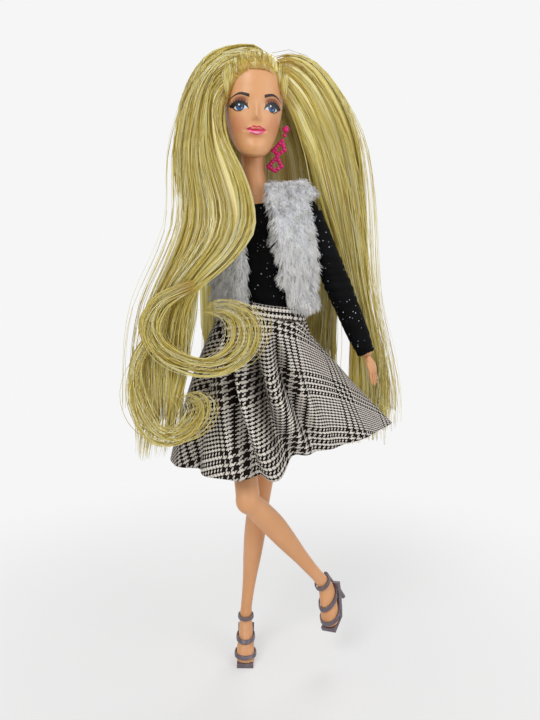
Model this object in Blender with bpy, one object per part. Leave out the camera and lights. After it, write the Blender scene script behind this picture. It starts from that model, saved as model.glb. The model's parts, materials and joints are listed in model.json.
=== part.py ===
"""A dressed 1:6 fashion doll with crossed legs, in metres, +Z up, facing -Y.

The origin lies on the floor under the ball of the doll's left foot. Left and right are the
doll's own, so left is +X. Each segment has a frame: +Z towards the joint that carries it,
-Y to its front. Widths and depths in the tables are half sizes, as shares of a named size.
"""

import bpy
import bmesh
from math import acos, asin, cos, hypot, pi, radians, sin
from mathutils import Matrix, Vector

# Fits
GAP = 0.0003
AIR = 0.0012
OVERRUN = 0.0020
ROD_SIDES = 12
LIMB_SIDES = 16
BODY_SIDES = 24

# Feet and sandals
ANKLE_HEIGHT = 0.0227
BALL_REACH = 0.0085
FOOT_WIDTH = 0.0092
SOLE_THICKNESS = 0.0012
STRAP_THICKNESS = 0.0007
STRAP_HEIGHT = 0.0018
HEEL_TIP_RADIUS = 0.0011
HEEL_SEAT_RADIUS = 0.0022

# Legs
SHIN_LENGTH = 0.0600
THIGH_LENGTH = 0.0635
CALF_RADIUS = 0.0053
KNEE_RADIUS = 0.0054
THIGH_RADIUS = 0.0076
HIP_SEAM = 0.0090
HIP_STEM_RADIUS = 0.0030
HIP_STEM_LENGTH = 0.0100
KNEE_TONGUE = 0.0034
KNEE_PIN_RADIUS = 0.0012
KNEE_LEAN = 4.0

# Pelvis and trunk
WEB_THICKNESS = 0.0040
WEB_RADIUS = 0.0042
WEB_ROOM = 0.0027
PELVIS_LEAN = 9.0
CHEST_LEAN = -5.6
PELVIS_HEIGHT = 0.0300
CHEST_HEIGHT = 0.0500
PELVIS_WIDTH = 0.0390
PELVIS_DEPTH = 0.0290
WAIST_WIDTH = 0.0280
WAIST_DEPTH = 0.0220
CHEST_WIDTH = 0.0350
CHEST_DEPTH = 0.0270
NECK_RADIUS = 0.0052
NECK_SPIGOT_RADIUS = 0.0040
NECK_SPIGOT_LENGTH = 0.0030
TRUNK_WALL = 0.0016
PEG_RADIUS = 0.0015
CROSS_PIN_RADIUS = 0.0010
HIP_FLANGE_RADIUS = 0.0024
HIP_FLANGE = 0.0007
SHOULDER_FLANGE_RADIUS = 0.0028
SHOULDER_FLANGE = 0.0010

# Arms
SHOULDER_DROP = 0.0085
SHOULDER_BALL_RADIUS = 0.0050
UPPER_ARM_LENGTH = 0.0360
FOREARM_LENGTH = 0.0360
ARM_RADIUS = 0.0044
ELBOW_RADIUS = 0.0040
WRIST_RADIUS = 0.0026
ELBOW_TONGUE = 0.0026
ELBOW_PIN_RADIUS = 0.0010
WRIST_STEM_RADIUS = 0.0011
WRIST_STEM_LENGTH = 0.0050
HAND_LENGTH = 0.0150
HAND_WIDTH = 0.0064
HAND_THICKNESS = 0.0034

# Head
HEAD_PIVOT_RISE = 0.0240
HEAD_LEAN = 3.5
HEAD_TURN = 4.0
HEAD_RISE = 0.0375
CHIN_DROP = 0.0078
HEAD_WIDTH = 0.0270
HEAD_DEPTH = 0.0320
HEAD_WALL = 0.0016
NECK_CUP_RADIUS = 0.0066
NOD_ROOM = 0.0022
KNOB_RADIUS = 0.0044
KNOB_STEM_RADIUS = 0.0020
KNOB_FLANGE_RADIUS = 0.0034
KNOB_FLANGE = 0.0010

# Earrings
EARRING_ROD_RADIUS = 0.0007
EARRING_TRIANGLE = 0.0056
EARRING_PIN_LENGTH = 0.0032
EARRING_PIN_RADIUS = 0.0006
EARRING_BEAD_RADIUS = 0.0015

# Clothes
CLOTH = 0.0008
FUR = 0.0068
VEST_COLLAR_RADIUS = 0.0086
WAISTBAND_HEIGHT = 0.0054
WAISTBAND_EASE = 0.0012
VEST_EASE = 0.0012
SKIRT_LENGTH = 0.0610
SKIRT_FLARE = 0.0350
SKIRT_DEPTH_FLARE = 0.0115
SKIRT_SWAY = 0.0055
SKIRT_FOLD = 0.0030
SKIRT_FOLDS = 9
CLOSURE_WIDTH = 0.0060
CLOSURE_THICKNESS = 0.0008

# Hair
HAIR_THICKNESS = 0.0034
HAIR_FALL_LENGTH = 0.1700
HAIR_FALL_WIDTH = 0.0320
HAIR_FALL_DEPTH = 0.0060
HAIR_BACK_LENGTH = 0.1450
HAIR_BACK_WIDTH = 0.0500
HAIR_BACK_DEPTH = 0.0050
CURL_RADIUS = 0.0030
UPPER_CURL_WIDTH = 0.0400
UPPER_CURL_HEIGHT = 0.0240
LOWER_CURL_WIDTH = 0.0230
LOWER_CURL_HEIGHT = 0.0360

# The pose in the photograph, in degrees, is the rest pose. A leg has its swing and spread at
# the hip, the thigh's turn and the knee's bend. An arm has its swing and spread at the
# shoulder and the elbow's bend.
SIDES = {"left": 1, "right": -1}
LEG_POSE = {"left": (1.8, 1.5, 0.0, 0.0), "right": (-20.4, -16.6, -50.0, 45.4)}
ARM_POSE = {"left": (-2.6, -17.4, 2.0), "right": (-2.6, 28.6, 2.0)}

for old in list(bpy.data.objects):
    bpy.data.objects.remove(old)


# Frames


def turned(angle, axis):
    return Matrix.Rotation(radians(angle), 4, axis)


def placed(point, turn):
    return Matrix.Translation(point) @ turn


def moved(frame, x=0, y=0, z=0):
    return frame @ Matrix.Translation((x, y, z))


# Shapes


def look(name, colour, roughness, metallic=0.0):
    """A plain material of one colour, given as 0 to 255 per channel."""
    made = bpy.data.materials.new(name)
    made.use_nodes = True
    shader = made.node_tree.nodes["Principled BSDF"]
    linear = [(c / 255) ** 2.2 for c in colour]
    shader.inputs["Base Color"].default_value = (*linear, 1)
    shader.inputs["Roughness"].default_value = roughness
    shader.inputs["Metallic"].default_value = metallic
    return made


def solid(name, points, faces, pivot, material):
    """A mesh object with its origin at pivot. Without a material it is a hidden tool."""
    mesh = bpy.data.meshes.new(name)
    mesh.from_pydata([p - pivot for p in points], [], faces)
    shape = bmesh.new()
    shape.from_mesh(mesh)
    bmesh.ops.recalc_face_normals(shape, faces=shape.faces)
    shape.to_mesh(mesh)
    shape.free()
    made = bpy.data.objects.new(name, mesh)
    made.location = pivot
    bpy.context.scene.collection.objects.link(made)
    if material:
        mesh.materials.append(material)
        mesh.shade_smooth()
        mesh.set_sharp_from_angle(angle=radians(50))
    else:
        made.hide_render = True
        made.display_type = "WIRE"
    return made


def ring(frame, height, half_width, half_depth, y=0, x=0, sides=LIMB_SIDES):
    """An ellipse of points across a frame's Z axis."""
    angles = [2 * pi * k / sides for k in range(sides)]
    return [frame @ Vector((x + half_width * cos(a), y + half_depth * sin(a), height)) for a in angles]


def loft(name, rings, pivot=Vector(), material=None):
    """A closed skin over rings that run from one end to the other."""
    sides = len(rings[0])
    points = [p for each in rings for p in each]
    faces = [list(range(sides)), [len(points) - 1 - k for k in range(sides)]]
    for row in range(len(rings) - 1):
        for k in range(sides):
            a, b = row * sides + k, row * sides + (k + 1) % sides
            faces.append([a, b, b + sides, a + sides])
    return solid(name, points, faces, pivot, material)


def tube(name, outer, inner, pivot=Vector(), material=None):
    """A wall between outer rings and the inner rings that go back to the start."""
    loop = outer + inner[::-1]
    sides = len(outer[0])
    points = [p for each in loop for p in each]
    faces = []
    for row in range(len(loop)):
        other = (row + 1) % len(loop)
        for k in range(sides):
            right = (k + 1) % sides
            faces.append([row * sides + k, row * sides + right, other * sides + right, other * sides + k])
    return solid(name, points, faces, pivot, material)


def rod(name, start, end, radius, pivot=Vector(), material=None, end_radius=None, sides=ROD_SIDES):
    """A round bar or cone from one point to another."""
    turn = (end - start).normalized().to_track_quat("Z", "Y").to_matrix().to_4x4()
    tip = radius if end_radius is None else end_radius
    first = ring(placed(start, turn), 0, radius, radius, sides=sides)
    last = ring(placed(end, turn), 0, tip, tip, sides=sides)
    return loft(name, [first, last], pivot, material)


def ball(name, centre, radius, pivot=Vector(), material=None, sides=ROD_SIDES):
    """A sphere as rings, with a small flat at each pole."""
    rows = sides // 2 + 2
    polar = [pi * (k + 1 / 2) / rows for k in range(rows)]
    frame = Matrix.Translation(centre)
    rings = [ring(frame, radius * cos(p), radius * sin(p), radius * sin(p), sides=sides) for p in polar]
    return loft(name, rings, pivot, material)


def prism(name, frame, outline, low, high, pivot=Vector(), material=None):
    """An outline in the frame's X and Z, carried along its Y."""
    rings = [[frame @ Vector((x, y, z)) for x, z in outline] for y in (low, high)]
    return loft(name, rings, pivot, material)


def block(name, frame, low, high, pivot=Vector(), material=None):
    """A box between two corners of a frame."""
    outline = [(low[0], low[2]), (high[0], low[2]), (high[0], high[2]), (low[0], high[2])]
    return prism(name, frame, outline, low[1], high[1], pivot, material)


def change(target, operation, tools):
    for tool in tools:
        step = target.modifiers.new(tool.name, "BOOLEAN")
        step.operation = operation
        step.object = tool
        step.solver = "EXACT"


def cut(target, *tools):
    change(target, "DIFFERENCE", tools)


def fuse(target, *tools):
    change(target, "UNION", tools)


def slot(name, frame, toward, first, last, reach, stem, half_thickness):
    """The room in a ball for a stem that turns about the frame's Y through its origin."""
    steps = 6
    angles = [radians(first + (last - first) * k / steps) for k in range(steps + 1)]
    rays = [Vector((toward * cos(a), 0, sin(a))) for a in angles]
    low_side = Vector((toward * sin(angles[0]), 0, -cos(angles[0]))) * stem
    high_side = Vector((-toward * sin(angles[-1]), 0, cos(angles[-1]))) * stem
    back = rays[steps // 2] * -stem
    corners = [low_side + back, low_side + rays[0] * reach]
    corners += [ray * reach for ray in rays[1:-1]]
    corners += [high_side + rays[-1] * reach, high_side + back]
    return prism(name, frame, [(p.x, p.z) for p in corners], -half_thickness, half_thickness)


SKIN = look("doll_skin_plastic", (221, 162, 116), 0.45)
VINYL = look("doll_face_vinyl", (226, 172, 130), 0.45)
JOINT = look("joint_plastic", (200, 150, 112), 0.5)
HAIR = look("hair_fibre", (201, 187, 98), 0.35)
KNIT = look("black_glitter_knit", (14, 17, 22), 0.6)
FAUX_FUR = look("faux_fur", (217, 217, 218), 0.95)
PLAID = look("plaid_cloth", (140, 132, 128), 0.85)
PINK = look("magenta_plastic", (196, 8, 88), 0.3)
SHOE = look("sandal_plastic", (107, 95, 104), 0.3)
TAPE = look("hook_and_loop_tape", (22, 22, 24), 0.8)


# The chain of frames, from the floor up through the left leg to the pelvis and the head

pelvis_turn = turned(PELVIS_LEAN, "Y")


def thigh_turn(side):
    swing, spread, turn, bend = LEG_POSE[side]
    return pelvis_turn @ turned(swing, "X") @ turned(spread, "Y") @ turned(turn, "Z")


def shin_turn(side):
    return thigh_turn(side) @ turned(LEG_POSE[side][3], "X") @ turned(-SIDES[side] * KNEE_LEAN, "Y")


def hip_reach():
    """How far a thigh's top corner comes inwards from its hip at the pose's steepest spread."""
    steepest = max(SIDES[side] * pose[1] for side, pose in LEG_POSE.items())
    return THIGH_RADIUS * cos(radians(steepest)) + HIP_SEAM * sin(radians(steepest))


HIP_OFFSET = WEB_THICKNESS / 2 + 2 * GAP + hip_reach()
SHOULDER_OFFSET = CHEST_WIDTH / 2 + SHOULDER_BALL_RADIUS

ankle = Vector((0, BALL_REACH, ANKLE_HEIGHT))
knee = ankle + shin_turn("left") @ Vector((0, 0, SHIN_LENGTH))
left_hip = knee + thigh_turn("left") @ Vector((0, 0, THIGH_LENGTH))
pelvis = moved(placed(left_hip, pelvis_turn), x=-HIP_OFFSET)
waist = moved(pelvis, z=PELVIS_HEIGHT)
chest = placed(waist.translation, turned(CHEST_LEAN, "Y"))
neck = moved(chest, z=CHEST_HEIGHT)
pivot_point = moved(neck, z=HEAD_PIVOT_RISE).translation
head = placed(pivot_point, turned(HEAD_LEAN, "Y") @ turned(HEAD_TURN, "Z"))
trunk_pivot = waist.translation
CLOTH_INSIDE = GAP
CLOTH_OUTSIDE = GAP + CLOTH
SLEEVE_START = SHOULDER_BALL_RADIUS / 2
SLEEVE_TOP_SHARE = 1.09
SLEEVE_RADIUS = SLEEVE_TOP_SHARE * ARM_RADIUS + CLOTH_OUTSIDE
SHOULDER_ROOM = hypot(SLEEVE_RADIUS, SLEEVE_START) + GAP
SHOULDER_SEAT = SHOULDER_OFFSET - SHOULDER_ROOM - TRUNK_WALL
HIP_SEAT = 2 * GAP
LEG_ROOM = THIGH_RADIUS + AIR
shoulders = moved(chest, z=CHEST_HEIGHT - SHOULDER_DROP)


def shoulder_frame(side, spread=True):
    swing, outward, bend = ARM_POSE[side]
    centre = shoulders @ Vector((SIDES[side] * SHOULDER_OFFSET, 0, 0))
    frame = placed(centre, turned(CHEST_LEAN, "Y") @ turned(swing, "X"))
    return frame @ turned(outward, "Y") if spread else frame


def elbow_frame(side):
    return moved(shoulder_frame(side), z=-UPPER_ARM_LENGTH) @ turned(-ARM_POSE[side][2], "X")


def wrist_frame(side):
    return moved(elbow_frame(side), z=-FOREARM_LENGTH)


def hip_frame(side, spread=True, turn=True):
    swing, inward, twist, bend = LEG_POSE[side]
    frame = placed(pelvis @ Vector((SIDES[side] * HIP_OFFSET, 0, 0)), pelvis_turn @ turned(swing, "X"))
    if spread:
        frame = frame @ turned(inward, "Y")
    return frame @ turned(twist, "Z") if turn else frame


def knee_frame(side, lean=True):
    frame = moved(hip_frame(side), z=-THIGH_LENGTH) @ turned(LEG_POSE[side][3], "X")
    return frame @ turned(-SIDES[side] * KNEE_LEAN, "Y") if lean else frame


def foot_frame(side):
    """The ankle's frame. The left foot stands flat, and the right foot mirrors it."""
    flat = shin_turn("left").inverted()
    mirror = Matrix.Diagonal((SIDES[side], 1, 1, 1))
    return moved(knee_frame(side), z=-SHIN_LENGTH) @ mirror @ flat @ mirror


# Trunk

# Height share, width share, depth share and front share, of each segment's own sizes
PELVIS_SHARES = [(0.50, 0.97, 0.97, 0.02), (0.74, 0.86, 0.90, 0.02), (0.88, 0.785, 0.82, 0.00)]
CHEST_SHARES = [
    (0.20, 0.86, 0.86, 0.03),
    (0.36, 0.96, 0.97, 0.10),
    (0.47, 1.00, 1.00, 0.14),
    (0.60, 1.00, 0.86, 0.06),
    (0.74, 1.02, 0.70, 0.00),
    (0.86, 1.00, 0.56, -0.04),
    (0.93, 0.74, 0.46, -0.06),
]
HIP_RING_SHARES = (0.98, 0.98, 0.00)
NECK_BACK_SHARE = 0.10
NECK_FLARE_SHARE = 1.25


def pelvis_ring(height, shares, extra=0):
    width, depth, front = shares
    size = (width * PELVIS_WIDTH / 2 + extra, depth * PELVIS_DEPTH / 2 + extra)
    return ring(pelvis, height, *size, -front * PELVIS_DEPTH / 2, sides=BODY_SIDES)


def waist_ring(extra=0, height=0):
    return ring(waist, height, WAIST_WIDTH / 2 + extra, WAIST_DEPTH / 2 + extra, sides=BODY_SIDES)


def chest_ring(shares, extra=0, widest=CHEST_WIDTH):
    share, width, depth, front = shares
    size = (min(width * CHEST_WIDTH / 2 + extra, widest), depth * CHEST_DEPTH / 2 + extra)
    return ring(chest, share * CHEST_HEIGHT, *size, -front * CHEST_DEPTH / 2, sides=BODY_SIDES)


def pelvis_rings(extra=0, first=0):
    return [pelvis_ring(share * PELVIS_HEIGHT, rest, extra) for share, *rest in PELVIS_SHARES[first:]]


def chest_rings(extra=0, last=None, widest=CHEST_WIDTH):
    return [chest_ring(shares, extra, widest) for shares in CHEST_SHARES[:last]]


def neck_ring(height, radius):
    return ring(neck, height, radius, radius, NECK_BACK_SHARE * NECK_RADIUS, sides=BODY_SIDES)


def along(name, frame, start, end, radius, material=None, sides=ROD_SIDES):
    """A bar on a frame's X axis, between two places on it. Its origin is the frame's."""
    ends = [frame @ Vector((x, 0, 0)) for x in (start, end)]
    return rod(name, *ends, radius, frame.translation, material, sides=sides)


def cross_bar(name, frame, half_length, radius):
    """A bar on a frame's Y axis, centred on its origin."""
    way = Vector((0, half_length, 0))
    return rod(name, frame @ -way, frame @ way, radius)


def trunk():
    """The moulded trunk, as a front and a back half that meet at the side seams."""
    socket = NECK_SPIGOT_RADIUS + GAP
    cavity = [pelvis_ring(LEG_ROOM + TRUNK_WALL, HIP_RING_SHARES, -TRUNK_WALL)]
    cavity += pelvis_rings(-TRUNK_WALL) + [waist_ring(-TRUNK_WALL)]
    cavity += chest_rings(-TRUNK_WALL, -1, SHOULDER_SEAT - GAP)
    tools = [
        loft("trunk_cavity", cavity),
        rod("neck_bore", pivot_point, shoulders.translation, KNOB_STEM_RADIUS + GAP),
        loft("neck_socket", [neck_ring(height, socket) for height in (-NECK_SPIGOT_LENGTH - GAP, OVERRUN)]),
    ]
    for side, sign in SIDES.items():
        room = shoulder_frame(side).translation
        seat = sign * SHOULDER_SEAT
        inside = seat - sign * (SHOULDER_FLANGE + 3 * GAP)
        bore = seat - sign * SHOULDER_FLANGE
        hip_inside, hip_outside = sign * (HIP_SEAT - GAP), sign * (HIP_SEAT + HIP_FLANGE + GAP)
        tools += [
            ball(f"shoulder_room_{side}", room, SHOULDER_ROOM, sides=LIMB_SIDES),
            along(f"shoulder_bore_{side}", shoulders, bore, sign * SHOULDER_OFFSET, PEG_RADIUS + GAP),
            along(f"shoulder_seat_{side}", shoulders, inside, seat, SHOULDER_FLANGE_RADIUS + GAP),
            along(f"hip_bore_{side}", pelvis, sign * HIP_SEAT, sign * HIP_OFFSET, PEG_RADIUS + GAP),
            along(f"hip_seat_{side}", pelvis, hip_inside, hip_outside, HIP_FLANGE_RADIUS + GAP),
        ]
    half_web, root = WEB_THICKNESS / 2, LEG_ROOM + TRUNK_WALL / 2
    web = [
        along("hip_web", pelvis, -half_web, half_web, WEB_RADIUS, sides=LIMB_SIDES),
        block("hip_web_root", pelvis, (-half_web, -WEB_RADIUS, 0), (half_web, WEB_RADIUS, root)),
    ]
    skin = [pelvis_ring(LEG_ROOM, HIP_RING_SHARES)] + pelvis_rings() + [waist_ring()]
    skin += chest_rings() + [neck_ring(0, NECK_FLARE_SHARE * NECK_RADIUS)]
    far = PELVIS_HEIGHT + CHEST_HEIGHT + HEAD_PIVOT_RISE
    for name, facing in (("trunk_front", -1), ("trunk_back", 1)):
        half = loft(name, skin, waist.translation, SKIN)
        fuse(half, *web)
        low, high = sorted((facing * GAP / 2, -facing * far)) if facing > 0 else (-GAP / 2, far)
        cut(half, *tools, block(f"{name}_parting", waist, (-far, low, -far), (far, high, far)))


def neck_column():
    """The neck, set in the trunk by a spigot, with a cup at its top for the head's socket."""
    sizes = (
        (-NECK_SPIGOT_LENGTH, NECK_SPIGOT_RADIUS),
        (GAP, NECK_SPIGOT_RADIUS),
        (GAP, NECK_FLARE_SHARE * NECK_RADIUS),
        (NECK_RADIUS, NECK_RADIUS),
        (HEAD_PIVOT_RISE, NECK_RADIUS),
    )
    column = loft("neck_column", [neck_ring(*size) for size in sizes], neck.translation, SKIN)
    cut(
        column,
        ball("neck_cup", pivot_point, NECK_CUP_RADIUS + GAP, sides=BODY_SIDES),
        rod("neck_column_bore", pivot_point, shoulders.translation, KNOB_STEM_RADIUS + GAP),
    )


def neck_knob():
    """The knob that the head snaps over. Its flanged stem turns in the neck."""
    knob = ball("neck_knob", pivot_point, KNOB_RADIUS, pivot_point, JOINT)
    high, low = [moved(shoulders, z=GAP + height).translation for height in (KNOB_FLANGE, 0)]
    stem = rod("neck_knob_stem", pivot_point, low, KNOB_STEM_RADIUS)
    fuse(knob, stem, rod("neck_knob_flange", high, low, KNOB_FLANGE_RADIUS))


def shoulder_peg(side):
    """A flanged peg that turns in the trunk, with a cross pin that the arm turns on."""
    sign = SIDES[side]
    frame = shoulder_frame(side, spread=False)
    outer = SHOULDER_OFFSET - SHOULDER_SEAT + GAP
    inner = outer + SHOULDER_FLANGE
    peg = along(f"shoulder_peg_{side}", frame, 0, -sign * inner, PEG_RADIUS, JOINT)
    flange = along(f"shoulder_flange_{side}", frame, -sign * outer, -sign * inner, SHOULDER_FLANGE_RADIUS)
    fuse(peg, flange, cross_bar(f"shoulder_pin_{side}", frame, SHOULDER_PIN_HALF, CROSS_PIN_RADIUS))


def hip_peg(side):
    """A flanged peg that turns in the pelvis web, with a cross pin that the hip ball turns on."""
    sign = SIDES[side]
    frame = hip_frame(side, spread=False, turn=False)
    outer = HIP_OFFSET - HIP_SEAT - HIP_FLANGE
    inner = HIP_OFFSET - HIP_SEAT
    peg = along(f"hip_peg_{side}", frame, 0, -sign * inner, PEG_RADIUS, JOINT)
    flange = along(f"hip_flange_{side}", frame, -sign * outer, -sign * inner, HIP_FLANGE_RADIUS)
    fuse(peg, flange, cross_bar(f"hip_pin_{side}", frame, HIP_PIN_HALF, CROSS_PIN_RADIUS))


# Limbs

# Share of the segment's length from its upper joint, width share, depth share, back share
THIGH_SHARES = [(0.30, 0.94, 1.00, 0.00), (0.55, 0.80, 0.86, -0.02), (0.80, 0.70, 0.74, -0.02)]
CALF_SHARES = [
    (0.17, 1.00, 1.06, 0.04),
    (0.32, 0.98, 1.10, 0.12),
    (0.50, 0.84, 0.96, 0.10),
    (0.72, 0.62, 0.70, 0.04),
    (0.90, 0.53, 0.60, 0.00),
]
# Share of the ankle's height, width share, depth share and front share of the foot's half width
FOOT_SHARES = [
    (0.00, 0.61, 0.66, 0.00),
    (0.25, 0.70, 0.90, 0.05),
    (0.42, 0.76, 1.26, 0.40),
    (0.58, 0.84, 1.24, 0.92),
    (0.74, 0.94, 1.04, 1.56),
    (0.86, 1.00, 1.00, 1.92),
]
UPPER_ARM_SHARES = [(0.16, 1.00, 1.00, 0.00), (0.55, 0.95, 0.97, 0.00)]
FOREARM_SHARES = [(0.22, 0.90, 0.92, 0.00), (0.55, 0.80, 0.80, 0.00)]
HAND_SHARES = [
    (0.00, 0.62, 0.84, 0.00),
    (0.18, 0.78, 0.92, 0.00),
    (0.45, 1.00, 1.00, 0.06),
    (0.62, 0.92, 0.80, 0.16),
    (0.84, 0.80, 0.66, 0.40),
    (0.97, 0.52, 0.44, 0.56),
]
KNUCKLE_STEPS = 3
SHOULDER_PIN_HALF = 0.72 * SHOULDER_BALL_RADIUS
HIP_PIN_HALF = 0.66 * THIGH_RADIUS
HIP_SPREAD_ROOM = (-24.0, 52.0)
SHOULDER_SPREAD_ROOM = (-14.0, 100.0)
LUG_SHARE = 0.80
LINK_SHARE = 0.50


def limb_rings(frame, shares, length, half_size, extra=0):
    rings = []
    for share, width, depth, back in shares:
        size = (width * half_size + extra, depth * half_size + extra)
        rings.append(ring(frame, -share * length, *size, back * half_size))
    return rings


def knuckle_rings(frame, length, radius):
    """The rounded lower end of a limb, about the hinge's X axis."""
    rings = [ring(frame, radius - length, radius, radius)]
    for k in range(KNUCKLE_STEPS + 1):
        angle = radians(75 * k / KNUCKLE_STEPS)
        rings.append(ring(frame, -length - radius * sin(angle), radius, radius * cos(angle)))
    return rings


def fork_tools(name, frame, radius, tongue, pin_radius, opens):
    """The slot and the pin hole at a limb's lower end, in the hinge's frame. The slot opens
    downwards, and to the side that the lug swings to: 1 for the back, -1 for the front."""
    lug, link, far = LUG_SHARE * radius + GAP, LINK_SHARE * radius + GAP, radius + OVERRUN
    first = acos(link / lug)
    outline = [(far, -far), (far, link)]
    for k in range(LUG_STEPS + 1):
        angle = first - (first + pi / 2) * k / LUG_STEPS
        outline.append((lug * sin(angle), lug * cos(angle)))
    outline.append((-lug, -far))
    across = frame @ turned(90 * opens, "Z")
    room = prism(f"{name}_slot", across, outline, -tongue / 2 - GAP, tongue / 2 + GAP)
    return room, along(f"{name}_hole", frame, -far, far, pin_radius + GAP)


def lug_tool(name, frame, radius, tongue, depth):
    """The round lug that goes into a fork, with the link that carries it."""
    lug, link = LUG_SHARE * radius, LINK_SHARE * radius
    first = pi - asin(link / lug)
    outline = [(-link, -radius - depth), (link, -radius - depth)]
    for k in range(2 * LUG_STEPS + 1):
        angle = first - first * k / LUG_STEPS
        outline.append((lug * sin(angle), lug * cos(angle)))
    return prism(f"{name}_lug", frame @ turned(90, "Z"), outline, -tongue / 2, tongue / 2)


def hinge_pin(name, frame, radius, pin_radius):
    half = PIN_REACH_SHARE * radius
    along(name, frame, -half, half, pin_radius, JOINT)


PIN_REACH_SHARE = 0.88
LUG_STEPS = 8


def hip_ball(side):
    """The ball at the top of a leg. It turns on the peg, and the thigh turns on its stem."""
    sign = SIDES[side]
    frame = hip_frame(side, turn=False)
    rings = []
    for k in range(4):
        angle = radians(75 - 25 * k)
        rings.append(ring(frame, THIGH_RADIUS * sin(angle), *[THIGH_RADIUS * cos(angle)] * 2))
    rings.append(ring(frame, -HIP_SEAM, THIGH_RADIUS, THIGH_RADIUS))
    made = loft(f"hip_ball_{side}", rings, frame.translation, SKIN)
    seam = frame @ Vector((0, 0, OVERRUN - HIP_SEAM))
    tip = frame @ Vector((0, 0, -HIP_SEAM - HIP_STEM_LENGTH))
    fuse(made, rod(f"hip_stem_{side}", seam, tip, HIP_STEM_RADIUS))
    room = PEG_RADIUS + GAP
    reach = THIGH_RADIUS + OVERRUN
    cut(
        made,
        slot(f"hip_slot_{side}", frame, -sign, *HIP_SPREAD_ROOM, reach, room, room),
        cross_bar(f"hip_pin_hole_{side}", frame, HIP_PIN_HALF + GAP, CROSS_PIN_RADIUS + GAP),
    )


def thigh(side):
    """A thigh from the seam under the hip ball to the fork at the knee."""
    frame = hip_frame(side)
    rings = [ring(frame, -HIP_SEAM - GAP, THIGH_RADIUS, THIGH_RADIUS)]
    rings += limb_rings(frame, THIGH_SHARES, THIGH_LENGTH, THIGH_RADIUS)
    rings += knuckle_rings(frame, THIGH_LENGTH, KNEE_RADIUS)
    made = loft(f"thigh_{side}", rings, frame.translation, SKIN)
    start = frame @ Vector((0, 0, OVERRUN - HIP_SEAM))
    end = frame @ Vector((0, 0, -HIP_SEAM - HIP_STEM_LENGTH - GAP))
    hinge = moved(frame, z=-THIGH_LENGTH)
    cut(made, rod(f"thigh_bore_{side}", start, end, HIP_STEM_RADIUS + GAP))
    cut(made, *fork_tools(f"knee_{side}", hinge, KNEE_RADIUS, KNEE_TONGUE, KNEE_PIN_RADIUS, 1))
    hinge_pin(f"knee_pin_{side}", hinge, KNEE_RADIUS, KNEE_PIN_RADIUS)


def shin(side):
    """A shin and its high-arched foot, with the lug that turns on the knee pin."""
    frame, foot = knee_frame(side), foot_frame(side)
    hinge = knee_frame(side, lean=False)
    top = KNEE_RADIUS + GAP
    rings = [ring(hinge, -top, KNEE_RADIUS, KNEE_RADIUS)]
    rings += limb_rings(frame, CALF_SHARES, SHIN_LENGTH, CALF_RADIUS)
    rings += foot_rings(foot)
    made = loft(f"shin_{side}", rings, hinge.translation, SKIN)
    fuse(made, lug_tool(f"shin_{side}", hinge, KNEE_RADIUS, KNEE_TONGUE, OVERRUN))
    reach = KNEE_TONGUE / 2 + OVERRUN
    cut(made, along(f"shin_hole_{side}", hinge, -reach, reach, KNEE_PIN_RADIUS + GAP))


def foot_rings(foot, extra=0):
    half = FOOT_WIDTH / 2
    rings = []
    under = SOLE_THICKNESS + GAP - ANKLE_HEIGHT
    for share, width, depth, front in FOOT_SHARES:
        size = (width * half + extra, depth * half + extra)
        rings.append(ring(foot, -share * ANKLE_HEIGHT, *size, -front * half))
    share, width, depth, front = FOOT_SHARES[-1]
    size = (TOE_SHARE * width * half + extra, TOE_SHARE * depth * half + extra)
    return rings + [ring(foot, under - extra, *size, -front * half)]


TOE_SHARE = 0.92


# Sandal outline in shares of the ankle's height, backwards and upwards from the floor's ankle point
SOLE_TOP_SHARES = [(0.17, 0.62), (0.06, 0.44), (-0.12, 0.24), (-0.22, 0.09), (-0.62, 0.09)]
SOLE_UNDER_SHARES = [(-0.64, 0.0), (-0.24, 0.0), (-0.12, 0.10), (0.10, 0.34), (0.27, 0.56)]
HEEL_BACK_SHARES = (0.20, 0.24)
HEEL_SEAT_SHARE = 0.48
BAND_SHARES = {"ankle": 0.12, "instep": 0.52, "toes": 0.80}


def sandal(side):
    """A one-piece moulded sandal: arched sole, thin heel, counter and three bands."""
    foot = foot_frame(side)
    floor = moved(foot, z=-ANKLE_HEIGHT)
    centre = foot.translation
    half = SOLE_WIDTH_SHARE * FOOT_WIDTH / 2
    profile = [(y * ANKLE_HEIGHT, z * ANKLE_HEIGHT) for y, z in SOLE_TOP_SHARES + SOLE_UNDER_SHARES]
    rings = [[floor @ Vector((x, y, z)) for y, z in profile] for x in (-half, half)]
    made = loft(f"sandal_{side}", rings, centre, SHOE)
    seat, tip = [share * ANKLE_HEIGHT for share in HEEL_BACK_SHARES]
    top = HEEL_SEAT_SHARE * ANKLE_HEIGHT
    heel_rings = [
        ring(floor, 0, HEEL_TIP_RADIUS, HEEL_TIP_RADIUS, tip, sides=ROD_SIDES),
        ring(floor, top, HEEL_SEAT_RADIUS, HEEL_SEAT_RADIUS, seat, sides=ROD_SIDES),
    ]
    fuse(made, loft(f"sandal_heel_{side}", heel_rings))
    for name, share in BAND_SHARES.items():
        fuse(made, loft(f"{name}_band_{side}", band_rings(foot, share)))
    back = COUNTER_SHARES[0] * ANKLE_HEIGHT
    low, high = [(share - 1) * ANKLE_HEIGHT for share in COUNTER_SHARES[1:]]
    half_counter = STRAP_HEIGHT / 2
    counter = block(
        f"sandal_counter_{side}", foot, (-half_counter, 0, low), (half_counter, back, high)
    )
    fuse(made, counter)
    cut(made, loft(f"foot_room_{side}", foot_room_rings(side)))


SOLE_WIDTH_SHARE = 0.88
COUNTER_SHARES = (0.24, 0.50, 0.92)


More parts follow.
